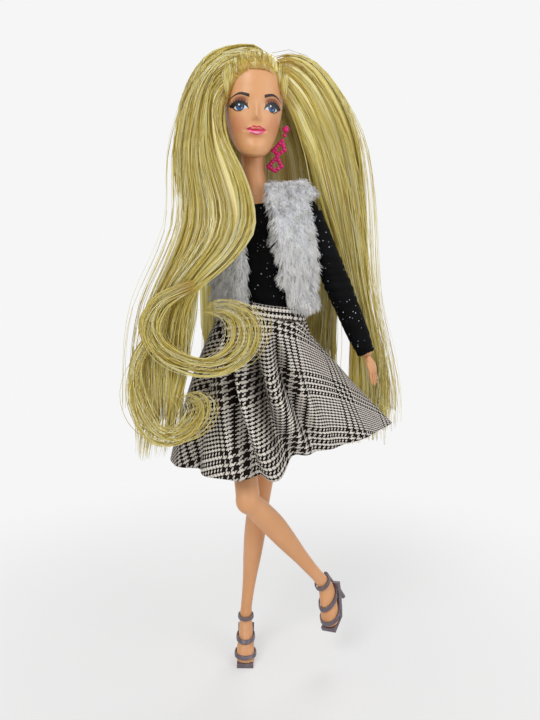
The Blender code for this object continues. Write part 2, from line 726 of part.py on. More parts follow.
def foot_size(share):
    """The foot's half width, half depth and front offset at a share of the ankle's height."""
    for upper, lower in zip(FOOT_SHARES, FOOT_SHARES[1:]):
        if share <= lower[0]:
            break
    part = (share - upper[0]) / (lower[0] - upper[0])
    return [(a + (b - a) * part) * FOOT_WIDTH / 2 for a, b in zip(upper[1:], lower[1:])]


def band_rings(foot, share):
    rings = []
    for side in (-1, 1):
        height = -share * ANKLE_HEIGHT + side * STRAP_HEIGHT / 2
        width, depth, front = foot_size(share - side * STRAP_HEIGHT / 2 / ANKLE_HEIGHT)
        extra = GAP + STRAP_THICKNESS
        rings.append(ring(foot, height, width + extra, depth + extra, -front))
    return rings


def foot_room_rings(side):
    foot = foot_frame(side)
    top = ring(foot, OVERRUN, *[FOOT_SHARES[0][1] * FOOT_WIDTH / 2 + GAP] * 2)
    return [top] + foot_rings(foot, GAP)


def upper_arm(side):
    """An upper arm, with the slot at its ball for the peg and the fork at the elbow."""
    sign = SIDES[side]
    frame = shoulder_frame(side)
    radius = SHOULDER_BALL_RADIUS
    rings = []
    for k in range(4):
        angle = radians(75 - 25 * k)
        rings.append(ring(frame, radius * sin(angle), *[radius * cos(angle)] * 2))
    rings += limb_rings(frame, UPPER_ARM_SHARES, UPPER_ARM_LENGTH, ARM_RADIUS)
    rings += knuckle_rings(frame, UPPER_ARM_LENGTH, ELBOW_RADIUS)
    made = loft(f"upper_arm_{side}", rings, frame.translation, SKIN)
    room, reach = PEG_RADIUS + GAP, radius + OVERRUN
    hinge = moved(frame, z=-UPPER_ARM_LENGTH)
    cut(
        made,
        slot(f"shoulder_slot_{side}", frame, -sign, *SHOULDER_SPREAD_ROOM, reach, room, room),
        cross_bar(f"shoulder_pin_hole_{side}", frame, SHOULDER_PIN_HALF + GAP, CROSS_PIN_RADIUS + GAP),
        *fork_tools(f"elbow_{side}", hinge, ELBOW_RADIUS, ELBOW_TONGUE, ELBOW_PIN_RADIUS, -1),
    )
    hinge_pin(f"elbow_pin_{side}", hinge, ELBOW_RADIUS, ELBOW_PIN_RADIUS)


def forearm(side):
    """A forearm, with the lug that turns on the elbow pin and the bore for the hand's stem."""
    frame = elbow_frame(side)
    rings = [ring(frame, -ELBOW_RADIUS - GAP, ELBOW_RADIUS, ELBOW_RADIUS)]
    rings += limb_rings(frame, FOREARM_SHARES, FOREARM_LENGTH, ARM_RADIUS)
    rings.append(ring(frame, -FOREARM_LENGTH, WRIST_RADIUS, WRIST_RADIUS))
    made = loft(f"forearm_{side}", rings, frame.translation, SKIN)
    fuse(made, lug_tool(f"forearm_{side}", frame, ELBOW_RADIUS, ELBOW_TONGUE, OVERRUN))
    reach = ELBOW_TONGUE / 2 + OVERRUN
    start = frame @ Vector((0, 0, -FOREARM_LENGTH - OVERRUN))
    end = frame @ Vector((0, 0, WRIST_STEM_LENGTH + GAP - FOREARM_LENGTH))
    cut(
        made,
        along(f"forearm_hole_{side}", frame, -reach, reach, ELBOW_PIN_RADIUS + GAP),
        rod(f"wrist_bore_{side}", start, end, WRIST_STEM_RADIUS + GAP),
    )


def hand(side):
    """A hand with slightly bent fingers, on a stem that turns in the wrist."""
    frame = wrist_frame(side)
    rings = []
    for share, width, depth, inward in HAND_SHARES:
        size = (depth * HAND_THICKNESS / 2, width * HAND_WIDTH / 2)
        x = -SIDES[side] * inward * HAND_THICKNESS
        rings.append(ring(frame, -GAP - share * HAND_LENGTH, *size, x=x, sides=ROD_SIDES))
    made = loft(f"hand_{side}", rings, frame.translation, SKIN)
    root = frame @ Vector((0, 0, -OVERRUN))
    fuse(made, rod(f"wrist_stem_{side}", root, frame @ Vector((0, 0, WRIST_STEM_LENGTH)), WRIST_STEM_RADIUS))


# Head

# Height share of the rise over the pivot or of the chin's drop, width, depth and front shares
CHIN_SHARES = [(-1.00, 0.22, 0.17, 0.66), (-0.72, 0.46, 0.38, 0.48), (-0.20, 0.70, 0.64, 0.22)]
SKULL_SHARES = [
    (0.10, 0.86, 0.82, 0.08),
    (0.32, 0.97, 0.95, 0.02),
    (0.54, 1.00, 1.00, -0.02),
    (0.75, 0.94, 0.94, -0.06),
    (0.90, 0.70, 0.72, -0.08),
    (0.985, 0.32, 0.34, -0.08),
]
FACE_WIDTH_SHARE = 0.88
FACE_TOP_SHARE = 0.74
FACE_SIDE_SHARE = 0.34
FACE_BACK_SHARE = 0.14
EAR_HEIGHT_SHARE = 0.10
EAR_FRONT_SHARE = 0.26
NOD_DEGREES = 10.0


def head_rings(extra=0, first=0, last=None):
    rings = []
    for share, width, depth, front in (CHIN_SHARES + SKULL_SHARES)[first:last]:
        height = share * (HEAD_RISE + extra) if share > 0 else share * CHIN_DROP
        size = (width * HEAD_WIDTH / 2 + extra, depth * HEAD_DEPTH / 2 + extra)
        rings.append(ring(head, height, *size, -front * HEAD_DEPTH / 2, sides=BODY_SIDES))
    return rings


def ear_frame(side):
    """The earring's place on the head, just in front of the hair."""
    height = EAR_HEIGHT_SHARE * HEAD_RISE
    shares = SKULL_SHARES[0]
    y = -EAR_FRONT_SHARE * HEAD_DEPTH / 2
    off = (y + shares[3] * HEAD_DEPTH / 2) / (shares[2] * HEAD_DEPTH / 2)
    x = shares[1] * HEAD_WIDTH / 2 * cos(radians(90) * abs(off) ** 1.5)
    return moved(head, SIDES[side] * x, y, height)


def head_shell():
    """The hollow vinyl head, open at the neck where it snaps over the knob."""
    made = loft("head", head_rings(), pivot_point, VINYL)
    under = moved(head, z=-2 * CHIN_DROP).translation
    cut(made, rod("head_neck_room", under, pivot_point, NECK_RADIUS + NOD_ROOM, sides=BODY_SIDES))
    fuse(made, ball("head_socket", pivot_point, NECK_CUP_RADIUS, sides=BODY_SIDES))
    hollow = loft("head_hollow", head_rings(-HEAD_WALL, 3, -1))
    seat = ball("knob_seat", pivot_point, KNOB_RADIUS + GAP, sides=BODY_SIDES)
    sway = NECK_CUP_RADIUS * sin(radians(NOD_DEGREES + 4))
    mouth = moved(neck, z=HEAD_PIVOT_RISE - CHIN_DROP).translation
    narrow, wide = KNOB_STEM_RADIUS + GAP, KNOB_STEM_RADIUS + sway
    opening = rod("neck_opening", pivot_point, mouth, narrow, end_radius=wide)
    tools = [hollow, seat, opening]
    for side, sign in SIDES.items():
        ear = ear_frame(side)
        reach = EARRING_PIN_LENGTH + GAP
        tools.append(along(f"ear_hole_{side}", ear, -sign * reach, sign * OVERRUN, EARRING_PIN_RADIUS + GAP))
    cut(made, *tools)


def earring(side):
    """A pin, a bead and a chain of two open triangles, moulded in one piece."""
    sign = SIDES[side]
    ear = ear_frame(side)
    clear = EARRING_BEAD_RADIUS + 2 * GAP
    made = along(f"earring_{side}", ear, -sign * EARRING_PIN_LENGTH, sign * clear, EARRING_PIN_RADIUS, PINK)
    bead = ear @ Vector((sign * clear, 0, 0))
    fuse(made, ball(f"earring_bead_{side}", bead, EARRING_BEAD_RADIUS))
    lean = -EARRING_LEAN_SHARE * EARRING_TRIANGLE
    top = bead - Vector((0, 0, EARRING_BEAD_RADIUS))
    for level in range(2):
        low = top + Vector((lean, 0, -EARRING_TRIANGLE))
        half = Vector((EARRING_TRIANGLE / 2, 0, 0))
        fuse(made, open_triangle(f"earring_triangle_{side}_{level}", (top, low + half, low - half)))
        top = low


def open_triangle(name, corners):
    """A loop of round strand through three corners that face the front, mitred at each."""
    rings = []
    for k, corner in enumerate(corners):
        out = (2 * corner - corners[k - 1] - corners[k - 2]).normalized()
        half_angle = (corners[k - 1] - corner).angle(corners[k - 2] - corner) / 2
        long = EARRING_ROD_RADIUS / sin(half_angle)
        points = []
        for step in range(STRAND_SIDES):
            a = 2 * pi * step / STRAND_SIDES
            points.append(corner + out * long * cos(a) + Vector((0, EARRING_ROD_RADIUS * sin(a), 0)))
        rings.append(points)
    return tube(name, rings, [])


EARRING_LEAN_SHARE = 0.30
STRAND_SIDES = 8


# Clothes


def arm_room(name, side, extra):
    """The room for a sleeved arm: a dome over the shoulder that runs on down to the elbow."""
    frame = shoulder_frame(side)
    wide, narrow = SHOULDER_ROOM + extra, SLEEVE_RADIUS + GAP + extra
    rings = []
    for k in range(DOME_STEPS):
        angle = radians(80 * (1 - k / (DOME_STEPS - 1)))
        rings.append(ring(frame, wide * sin(angle), *[wide * cos(angle)] * 2))
    for height in (-((wide**2 - narrow**2) ** 0.5), -UPPER_ARM_LENGTH):
        rings.append(ring(frame, height, narrow, narrow))
    return loft(name, rings)


DOME_STEPS = 6


def bodice():
    """The black top's body, from under the waistband to the neckline, with two armholes."""
    rows = []
    for extra in (CLOTH_OUTSIDE, CLOTH_INSIDE):
        rows.append(pelvis_rings(extra, -1) + [waist_ring(extra)] + chest_rings(extra))
    made = tube("bodice", *rows, waist.translation, KNIT)
    for side in SIDES:
        cut(made, arm_room(f"armhole_{side}", side, GAP))


def sleeve(side):
    """A tight sleeve over the whole arm. It bends with the elbow, as the cloth does."""
    frame, elbow = shoulder_frame(side), elbow_frame(side)
    cuff = CUFF_EASE_SHARE * WRIST_RADIUS / ARM_RADIUS
    top = (SLEEVE_START / UPPER_ARM_LENGTH, SLEEVE_TOP_SHARE, SLEEVE_TOP_SHARE, 0)
    upper = [top] + UPPER_ARM_SHARES
    lower = [(0, ELBOW_EASE_SHARE, ELBOW_EASE_SHARE, 0)] + FOREARM_SHARES + [(CUFF_SHARE, cuff, cuff, 0)]
    rows = []
    for extra in (CLOTH_OUTSIDE, CLOTH_INSIDE):
        row = limb_rings(frame, upper, UPPER_ARM_LENGTH, ARM_RADIUS, extra)
        rows.append(row + limb_rings(elbow, lower, FOREARM_LENGTH, ARM_RADIUS, extra))
    tube(f"sleeve_{side}", *rows, frame.translation, KNIT)


ELBOW_EASE_SHARE = 0.97
CUFF_SHARE = 0.97
CUFF_EASE_SHARE = 1.08

# Height share of the chest, the fur's outer width share and depth share, the front edge's angle
VEST_ROWS = [
    (-0.03, 1.36, 1.34, 50.0),
    (0.06, 1.36, 1.36, 58.0),
    (0.20, 1.38, 1.42, 66.0),
    (0.36, 1.45, 1.52, 69.0),
    (0.47, 1.50, 1.56, 71.0),
    (0.60, 1.53, 1.50, 73.0),
    (0.74, 1.57, 1.36, 75.0),
    (0.86, 1.62, 1.18, 77.0),
    (0.93, 1.62, 1.04, 78.0),
    (1.00, 1.60, 0.92, 78.0),
    (1.10, 1.36, 0.76, 78.0),
]
BACK_STEPS = 12
FRONT_STEPS = 6
SEAM_ANGLE = 2.0


def vest_row(first, last, steps, height, width, depth):
    """A strip of the fur across the chest's Z axis, between two angles round the chest."""
    share = min(max(height, 0), CHEST_SHARES[-1][0])
    table = [(0, WAIST_WIDTH / CHEST_WIDTH, WAIST_DEPTH / CHEST_DEPTH, 0.0)] + CHEST_SHARES
    for lower, upper in zip(table, table[1:]):
        if lower[0] <= share <= upper[0]:
            part = (share - lower[0]) / (upper[0] - lower[0])
            body = [a + (b - a) * part for a, b in zip(lower[1:], upper[1:])]
    inside = CLOTH_OUTSIDE + VEST_EASE
    sizes = (
        (width * CHEST_WIDTH / 2, depth * CHEST_DEPTH / 2),
        (body[0] * CHEST_WIDTH / 2 + inside, body[1] * CHEST_DEPTH / 2 + inside),
    )
    points = []
    for half_width, half_depth in sizes:
        strip = []
        for k in range(steps + 1):
            angle = radians(first + (last - first) * k / steps)
            x, y = half_width * cos(angle), half_depth * sin(angle) - body[2] * CHEST_DEPTH / 2
            strip.append(chest @ Vector((x, y, height * CHEST_HEIGHT)))
        points += strip if not points else strip[::-1]
    return points


def vest():
    """The open fur vest: a back and two fronts, sewn at the shoulders and sides."""
    collar_end = moved(chest, z=2 * CHEST_HEIGHT).translation
    tools = [rod("vest_collar", waist.translation, collar_end, VEST_COLLAR_RADIUS, sides=BODY_SIDES)]
    for side in SIDES:
        tools.append(arm_room(f"vest_armhole_{side}", side, AIR))
    pieces = {"vest_back": [], "vest_front_left": [], "vest_front_right": []}
    for height, width, depth, edge in VEST_ROWS:
        row = (height, width, depth)
        pieces["vest_back"].append(vest_row(SEAM_ANGLE, 180 - SEAM_ANGLE, BACK_STEPS, *row))
        pieces["vest_front_left"].append(vest_row(0, -edge, FRONT_STEPS, *row))
        pieces["vest_front_right"].append(vest_row(180, 180 + edge, FRONT_STEPS, *row))
    band = [ring_at_band(BAND_ROOM, height) for height in BAND_ROOM_HEIGHTS]
    tools.append(loft("vest_band_room", band))
    tools.append(block("vest_closure_room", waist, *closure_corners(2 * GAP)))
    tools.append(loft("vest_skirt_room", [skirt_ring(k / SKIRT_ROWS, -GAP) for k in range(3)]))
    for name, rows in pieces.items():
        cut(loft(name, rows, waist.translation, FAUX_FUR), *tools)


WAISTBAND_INSIDE = CLOTH_OUTSIDE + WAISTBAND_EASE
WAISTBAND_OUTSIDE = WAISTBAND_INSIDE + 1.5 * CLOTH
BAND_ROOM = WAISTBAND_OUTSIDE + 2 * GAP
BAND_TOP = WAISTBAND_HEIGHT / 4
BAND_BOTTOM = BAND_TOP - WAISTBAND_HEIGHT
BAND_ROOM_HEIGHTS = (BAND_BOTTOM - OVERRUN, BAND_TOP + GAP)
BAND_FLARE = 0.45
HEM_LEAN = -6.0


def ring_at_band(extra, height, sides=BODY_SIDES):
    """A ring round the waist that widens below it, as the hips do."""
    wider = extra - BAND_FLARE * min(height, 0)
    return ring(waist, height, WAIST_WIDTH / 2 + wider, WAIST_DEPTH / 2 + wider, sides=sides)


def waistband():
    rows = []
    for extra in (WAISTBAND_OUTSIDE, WAISTBAND_INSIDE):
        rows.append([ring_at_band(extra, height) for height in (BAND_BOTTOM, 0, BAND_TOP)])
    tube("waistband", *rows, waist.translation, PLAID)
    block("skirt_closure", waist, *closure_corners(0), waist.translation, TAPE)


def closure_corners(extra):
    """The corners of the tape at the back of the waistband, grown on all sides."""
    y = WAIST_DEPTH / 2 + WAISTBAND_OUTSIDE - BAND_FLARE * BAND_BOTTOM + GAP
    low = (-CLOSURE_WIDTH / 2 - extra, y - extra, BAND_BOTTOM - extra)
    return low, (CLOSURE_WIDTH / 2 + extra, y + CLOSURE_THICKNESS + extra, BAND_TOP + extra)


SKIRT_ROWS = 7
SKIRT_FOLD_SEGMENTS = 7


def skirt_ring(share, extra):
    """The skirt at a share of its drop: an ellipse that flares, sways, leans and folds."""
    lean = PELVIS_LEAN + (HEM_LEAN - PELVIS_LEAN) * share
    top = waist @ Vector((0, 0, BAND_BOTTOM - GAP))
    centre = top + Vector((SKIRT_SWAY * share, -SKIRT_FORWARD * share, -SKIRT_LENGTH * share))
    frame = placed(centre, turned(lean, "Y"))
    start = WAISTBAND_OUTSIDE - BAND_FLARE * BAND_BOTTOM
    half_width = WAIST_WIDTH / 2 + start + SKIRT_FLARE * share**0.9
    half_depth = WAIST_DEPTH / 2 + start + SKIRT_DEPTH_FLARE * share**0.6
    points = []
    count = SKIRT_FOLDS * SKIRT_FOLD_SEGMENTS
    for k in range(count):
        a = 2 * pi * k / count
        fold = SKIRT_FOLD * share * cos(SKIRT_FOLDS * a) - extra
        low = SKIRT_FRONT_DROP * share * sin(a) ** 2
        points.append(frame @ Vector(((half_width + fold) * cos(a), (half_depth + fold) * sin(a), -low)))
    return points


SKIRT_FRONT_DROP = 0.0080
SKIRT_FORWARD = 0.0040


def skirt():
    """The flared skirt, with its main folds."""
    shares = [k / SKIRT_ROWS for k in range(SKIRT_ROWS + 1)]
    rows = [[skirt_ring(share, extra) for share in shares] for extra in (0, CLOTH)]
    tube("skirt", *rows, waist.translation, PLAID)


# Hair

HAIR_FRONT = 1.14 * CHEST_DEPTH / 2 + CLOTH_OUTSIDE + FUR + 2 * GAP + HAIR_FALL_DEPTH / 2
HAIR_BACK = 1.02 * CHEST_DEPTH / 2 + CLOTH_OUTSIDE + FUR + 2 * GAP + HAIR_BACK_DEPTH / 2
HAIR_TOP_SHARE = 0.81
# Drop share of the fall's length, side and width shares of its width, forward share
RIGHT_FALL_SHARES = [
    (0.000, -0.41, 0.44, 0.07),
    (0.047, -0.53, 0.50, 0.15),
    (0.106, -0.62, 0.54, 0.33),
    (0.165, -0.61, 0.66, 0.63),
    (0.247, -0.53, 0.88, 0.93),
    (0.318, -0.46, 1.03, 1.00),
    (0.382, -0.42, 1.11, 1.00),
    (0.447, -0.46, 1.02, 1.00),
    (0.506, -0.59, 0.76, 1.00),
    (0.560, -0.77, 0.44, 1.00),
    (0.610, -0.83, 0.32, 1.03),
    (0.680, -0.80, 0.40, 1.06),
    (0.765, -0.83, 0.52, 1.12),
    (0.880, -0.87, 0.66, 1.12),
    (1.000, -0.90, 0.60, 1.12),
]
LEFT_FALL_SHARES = [
    (0.000, 0.56, 0.50, -0.20),
    (0.047, 0.80, 0.80, -0.22),
    (0.106, 0.97, 0.92, -0.26),
    (0.176, 1.10, 0.88, -0.34),
    (0.235, 1.22, 0.82, -0.42),
    (0.300, 1.32, 0.70, -0.46),
    (0.400, 1.40, 0.50, -0.46),
    (0.500, 1.44, 0.44, -0.46),
    (0.620, 1.46, 0.50, -0.56),
    (0.765, 1.52, 0.66, -0.80),
    (0.910, 1.58, 0.86, -0.95),
    (1.000, 1.60, 0.80, -0.98),
]
BACK_HAIR_SHARES = [
    (0.00, 0.00, 0.60, -0.66),
    (0.08, 0.00, 0.74, -0.84),
    (0.18, 0.00, 0.90, -0.99),
    (0.35, 0.00, 1.00, -1.00),
    (0.60, 0.00, 1.00, -1.04),
    (0.85, 0.00, 0.95, -1.12),
    (1.00, 0.00, 0.80, -1.18),
]
BACK_HAIR_TOP_SHARE = 0.36
HAIR_SIDES = 12


def hair_mass(name, shares, top, size, forward):
    """A hanging mass of hair, as flat ellipses down a path from the head."""
    length, width, depth = size
    start = placed(pivot_point, turned(0, "X"))
    rings = []
    for drop, side, wide, front in shares:
        place = (-front * forward, side * width)
        rings.append(ring(start, top - drop * length, wide * width / 2, depth / 2, *place, sides=HAIR_SIDES))
    return loft(name, rings, pivot_point, HAIR)


def hair_crown():
    """The rooted hair over the skull, open round the face."""
    made = loft("hair_crown", head_rings(HAIR_THICKNESS, 2), pivot_point, HAIR)
    half, top = FACE_WIDTH_SHARE * HEAD_WIDTH / 2, FACE_TOP_SHARE * HEAD_RISE
    side = FACE_SIDE_SHARE * HEAD_RISE
    ear_top = EAR_HEIGHT_SHARE * HEAD_RISE + 2 * EARRING_BEAD_RADIUS
    outline = [(-half, ear_top), (-HEAD_WIDTH, ear_top), (-HEAD_WIDTH, -2 * CHIN_DROP)]
    outline += [(-x, z) for x, z in outline[::-1]]
    for k in range(9):
        angle = pi * k / 8
        outline.append((half * cos(angle), side + (top - side) * sin(angle)))
    face = prism("face_opening", head, outline, -HEAD_DEPTH, -FACE_BACK_SHARE * HEAD_DEPTH / 2)
    neck_room = moved(head, z=-CHIN_DROP)
    nape = rod("nape_room", neck_room.translation, pivot_point, NECK_RADIUS + AIR, sides=LIMB_SIDES)
    cut(made, loft("scalp", head_rings(GAP)), face, nape)
    return made


def curl(name, centre, width, height, first, last):
    """A loose curl as a fat round strand along part of an ellipse."""
    rings = []
    for k in range(CURL_STEPS + 1):
        angle = radians(first + (last - first) * k / CURL_STEPS)
        along_way = Vector((-width * sin(angle), 0, height * cos(angle)))
        point = centre + Vector((width / 2 * cos(angle), 0, height / 2 * sin(angle)))
        turn = along_way.to_track_quat("Z", "Y").to_matrix().to_4x4()
        radius = CURL_RADIUS * (CURL_TIP_SHARE if k in (0, CURL_STEPS) else 1)
        rings.append(ring(placed(point, turn), 0, radius, radius, sides=8))
    loft(name, rings, pivot_point, HAIR)


CURL_STEPS = 20
CURL_TIP_SHARE = 0.5
UPPER_CURL_SHARES = (-0.66, -0.53)
LOWER_CURL_SHARES = (-1.02, -0.645)


def hair():
    crown = hair_crown()
    room = loft("crown_room", head_rings(HAIR_THICKNESS + GAP, 2))
    top = HAIR_TOP_SHARE * HEAD_RISE
    fall = (HAIR_FALL_LENGTH, HAIR_FALL_WIDTH, HAIR_FALL_DEPTH)
    back = (HAIR_BACK_LENGTH, HAIR_BACK_WIDTH, HAIR_BACK_DEPTH)
    cut(hair_mass("hair_fall_right", RIGHT_FALL_SHARES, top, fall, HAIR_FRONT), room)
    cut(hair_mass("hair_fall_left", LEFT_FALL_SHARES, top, fall, HAIR_BACK), room)
    low = BACK_HAIR_TOP_SHARE * HEAD_RISE
    cut(hair_mass("hair_back", BACK_HAIR_SHARES, low, back, HAIR_BACK), room)
    forward = 1.12 * HAIR_FRONT + HAIR_FALL_DEPTH / 2 + GAP + CURL_RADIUS
    sizes = (UPPER_CURL_WIDTH, UPPER_CURL_HEIGHT), (LOWER_CURL_WIDTH, LOWER_CURL_HEIGHT)
    x, z = UPPER_CURL_SHARES[0] * HAIR_FALL_WIDTH, UPPER_CURL_SHARES[1] * HAIR_FALL_LENGTH
    curl("hair_curl_upper", pivot_point + Vector((x, -forward, z)), *sizes[0], 110, 420)
    x, z = LOWER_CURL_SHARES[0] * HAIR_FALL_WIDTH, LOWER_CURL_SHARES[1] * HAIR_FALL_LENGTH
    curl("hair_curl_lower", pivot_point + Vector((x, -forward, z)), *sizes[1], 140, 360)
    return crown


trunk()
neck_column()
neck_knob()
head_shell()
hair()
bodice()
vest()
waistband()
skirt()
for each in SIDES:
    earring(each)
    shoulder_peg(each)
    upper_arm(each)
    forearm(each)
    hand(each)
    sleeve(each)
    hip_peg(each)
    hip_ball(each)
    thigh(each)
    shin(each)
    sandal(each)
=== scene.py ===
"""The dressed fashion doll as it is seen: skin, face, hair, clothes and shoes over the frame."""

import json
from math import cos, exp, hypot, pi, radians, sin

import bmesh
import bpy
import numpy as np
from mathutils import Matrix, Vector, noise
from mathutils.bvhtree import BVHTree


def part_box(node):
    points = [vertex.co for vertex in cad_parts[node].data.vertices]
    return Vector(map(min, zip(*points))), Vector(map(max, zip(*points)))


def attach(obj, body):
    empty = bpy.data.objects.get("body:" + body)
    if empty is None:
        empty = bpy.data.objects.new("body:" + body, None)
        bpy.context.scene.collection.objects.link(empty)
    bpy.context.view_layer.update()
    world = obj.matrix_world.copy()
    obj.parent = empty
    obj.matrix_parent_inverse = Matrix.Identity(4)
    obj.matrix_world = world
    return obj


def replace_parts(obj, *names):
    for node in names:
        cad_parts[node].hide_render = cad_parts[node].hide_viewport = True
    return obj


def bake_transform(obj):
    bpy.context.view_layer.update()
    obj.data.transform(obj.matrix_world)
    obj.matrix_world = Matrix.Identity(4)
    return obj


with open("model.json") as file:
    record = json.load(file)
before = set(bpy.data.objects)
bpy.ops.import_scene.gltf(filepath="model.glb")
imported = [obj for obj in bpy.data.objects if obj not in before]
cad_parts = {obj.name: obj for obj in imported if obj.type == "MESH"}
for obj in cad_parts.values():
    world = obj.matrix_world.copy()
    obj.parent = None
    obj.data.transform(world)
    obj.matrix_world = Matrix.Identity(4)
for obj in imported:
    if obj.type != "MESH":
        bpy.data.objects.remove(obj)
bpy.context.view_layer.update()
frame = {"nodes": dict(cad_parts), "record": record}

# The camera and the room. The doll is seen from a little below the shoulders, with the camera
# tipped down, on a plain pale floor under large soft lamps. White behind it is the colour of
# the air that the camera and mirrors see, and gives no light.
MM = 0.001
PICTURE_WIDTH, PICTURE_HEIGHT, SENSOR_MM = 540, 720, 36
TILT = radians(8.6)
EYE = Vector((12.17, -324.68, 200.50)) * MM
FOCAL_PX = 706.6
FLOOR_HALF = 3.0
WHITE_AIR, AIR_LIGHT = "#F6F6F6", 0.42
LAMPS_AIM_AT = Vector((0, 0, 0.16))


def placed(name, data):
    """A new object in the scene that holds the data."""
    made = bpy.data.objects.new(name, data)
    bpy.context.scene.collection.objects.link(made)
    return made


def seen(px, py, y):
    """The point at depth y, in millimetres, that shows at a pixel of the picture."""
    forward, upward = Vector((0, cos(TILT), -sin(TILT))), Vector((0, sin(TILT), cos(TILT)))
    way = forward + upward * ((PICTURE_HEIGHT / 2 - py) / FOCAL_PX)
    way.x = (px - PICTURE_WIDTH / 2) / FOCAL_PX
    return EYE + way * ((y * MM - EYE.y) / way.y)


def tone(code):
    """An sRGB hex colour as linear light."""
    parts = [int(code[k : k + 2], 16) / 255 for k in (1, 3, 5)]
    return (*[c / 12.92 if c <= 0.04045 else ((c + 0.055) / 1.055) ** 2.4 for c in parts], 1.0)


def feed(node, key, value):
    """Link a socket, or the first output that a node has in use, to another node's input."""
    if isinstance(value, bpy.types.Node):
        value = next(socket for socket in value.outputs if socket.enabled)
    node.id_data.links.new(value, node.inputs[key])


def add(tree, kind, inputs=None, **settings):
    """Add a node with its settings, and its inputs' values or links."""
    made = tree.nodes.new("ShaderNode" + kind)
    for key, value in settings.items():
        setattr(made, key, value)
    for key, value in (inputs or {}).items():
        if isinstance(value, (bpy.types.Node, bpy.types.NodeSocket)):
            feed(made, key, value)
        else:
            made.inputs[key].default_value = value
    return made


def maths(tree, operation, *values, kind="Math"):
    """A maths node over numbers, sockets or nodes."""
    return add(tree, kind, dict(enumerate(values)), operation=operation)


def vectors(tree, operation, *values):
    return maths(tree, operation, *values, kind="VectorMath")


def mapped(tree, value, before, after, **settings):
    """A value taken from one range, a low and a high, to another."""
    return add(tree, "MapRange", dict(enumerate((value, *before, *after))), **settings)


def mixed(tree, share, a, b):
    """The colour that lies between a and b by a share."""
    return add(tree, "Mix", {"Factor": share, 6: a, 7: b}, data_type="RGBA")


def ramp(tree, value, *stops):
    """A colour ramp over a value, with stops of a place and an sRGB hex colour."""
    made = add(tree, "ValToRGB", {"Fac": value})
    elements = made.color_ramp.elements
    while len(elements) < len(stops):
        elements.new(0.5)
    for element, (place, code) in zip(elements, stops):
        element.position, element.color = place, tone(code)
    return made


def grain(tree, scale, detail=2.0):
    """Noise in the object's own space, with scale cells to the metre."""
    spot = add(tree, "TexCoord").outputs["Object"]
    return add(tree, "TexNoise", {"Vector": spot, "Scale": scale, "Detail": detail})


def cells_of(tree, scale):
    """Rounded cells in the object's own space, with scale cells to the metre."""
    return add(tree, "TexVoronoi", {"Vector": add(tree, "TexCoord").outputs["Object"], "Scale": scale})


def bump(shader, height, strength, distance=0.0002):
    """Let a value raise the surface, by a distance in metres."""
    raised = add(shader.id_data, "Bump", {"Height": height, "Strength": strength, "Distance": distance})
    feed(shader, "Normal", raised)


def finish_of(name, **values):
    """A new material with its tree and shader. The values go on the shader's own sockets."""
    made = bpy.data.materials.new(name)
    made.use_nodes = True
    shader = made.node_tree.nodes["Principled BSDF"]
    for key, value in values.items():
        shader.inputs[key.replace("_", " ")].default_value = value
    return made, made.node_tree, shader


def straight_rays(tree):
    """One for a ray that comes from the camera, by a mirror or through glass, and zero for others."""
    rays = add(tree, "LightPath").outputs
    plain = maths(tree, "MAXIMUM", rays["Is Camera Ray"], rays["Is Glossy Ray"])
    return maths(tree, "MAXIMUM", plain, rays["Is Transmission Ray"])


def piece(name, points, faces, *materials):
    """A smooth mesh object in the frame's own coordinates."""
    mesh = bpy.data.meshes.new(name)
    mesh.from_pydata([tuple(p) for p in points], [], faces)
    mesh.update()
    for each in materials:
        mesh.materials.append(each)
    mesh.shade_smooth()
    return placed(name, mesh)


def repaint(material, *nodes):
    """Give solids of the frame a better finish."""
    for node in nodes:
        for part in frame["nodes"][node].material_slots:
            part.material = material


camera = placed("camera", bpy.data.cameras.new("camera"))
camera.data.lens = FOCAL_PX * SENSOR_MM / PICTURE_HEIGHT
camera.data.sensor_width = SENSOR_MM
camera.location = EYE
camera.rotation_euler = (pi / 2 - TILT, 0, 0)
bpy.context.scene.camera = camera
bpy.context.scene.view_settings.view_transform = "Standard"

AIR = bpy.data.worlds.new("soft_room")
AIR.use_nodes = True
air = AIR.node_tree
light = add(air, "Background", {"Color": tone("#F4F5F8"), "Strength": AIR_LIGHT})
white = add(air, "Background", {"Color": tone(WHITE_AIR), "Strength": 1.0})
both = add(air, "MixShader", {0: straight_rays(air), 1: light, 2: white})
feed(air.nodes["World Output"], "Surface", both)
bpy.context.scene.world = AIR

for name, place, size, power in (
    ("key_lamp", (-0.45, -0.85, 0.95), 0.55, 6.2),
    ("fill_lamp", (0.75, -0.55, 0.45), 0.60, 2.4),
    ("rim_lamp", (0.25, 0.75, 0.95), 0.45, 3.4),
):
    lamp = placed(name, bpy.data.lights.new(name, "AREA"))
    lamp.data.size = size
    lamp.data.energy = power
    lamp.location = place
    lamp.rotation_euler = (LAMPS_AIM_AT - Vector(place)).to_track_quat("-Z", "Y").to_euler()

floor_paint, tree, shader = finish_of("matt_floor_paint", Roughness=0.9)
feed(shader, "Base Color", ramp(tree, grain(tree, 1500.0), (0.3, "#EDECEB"), (0.7, "#F2F1F0")))
# Away from the doll the floor goes over into the white of the air, so no horizon shows
away = vectors(tree, "LENGTH", add(tree, "TexCoord").outputs["Object"])
fade = mapped(tree, away, (0.06, 0.30), (0.45, 1.0), interpolation_type="SMOOTHSTEP")
part = maths(tree, "MULTIPLY", straight_rays(tree), fade)
white = add(tree, "Emission", {"Color": tone(WHITE_AIR), "Strength": 1.0})
feed(tree.nodes["Material Output"], "Surface", add(tree, "MixShader", {0: part, 1: shader, 2: white}))
corners = [(x * FLOOR_HALF, y * FLOOR_HALF, 0) for x, y in ((-1, -1), (1, -1), (1, 1), (-1, 1))]
floor = piece("floor", corners, [(0, 1, 2, 3)], floor_paint)

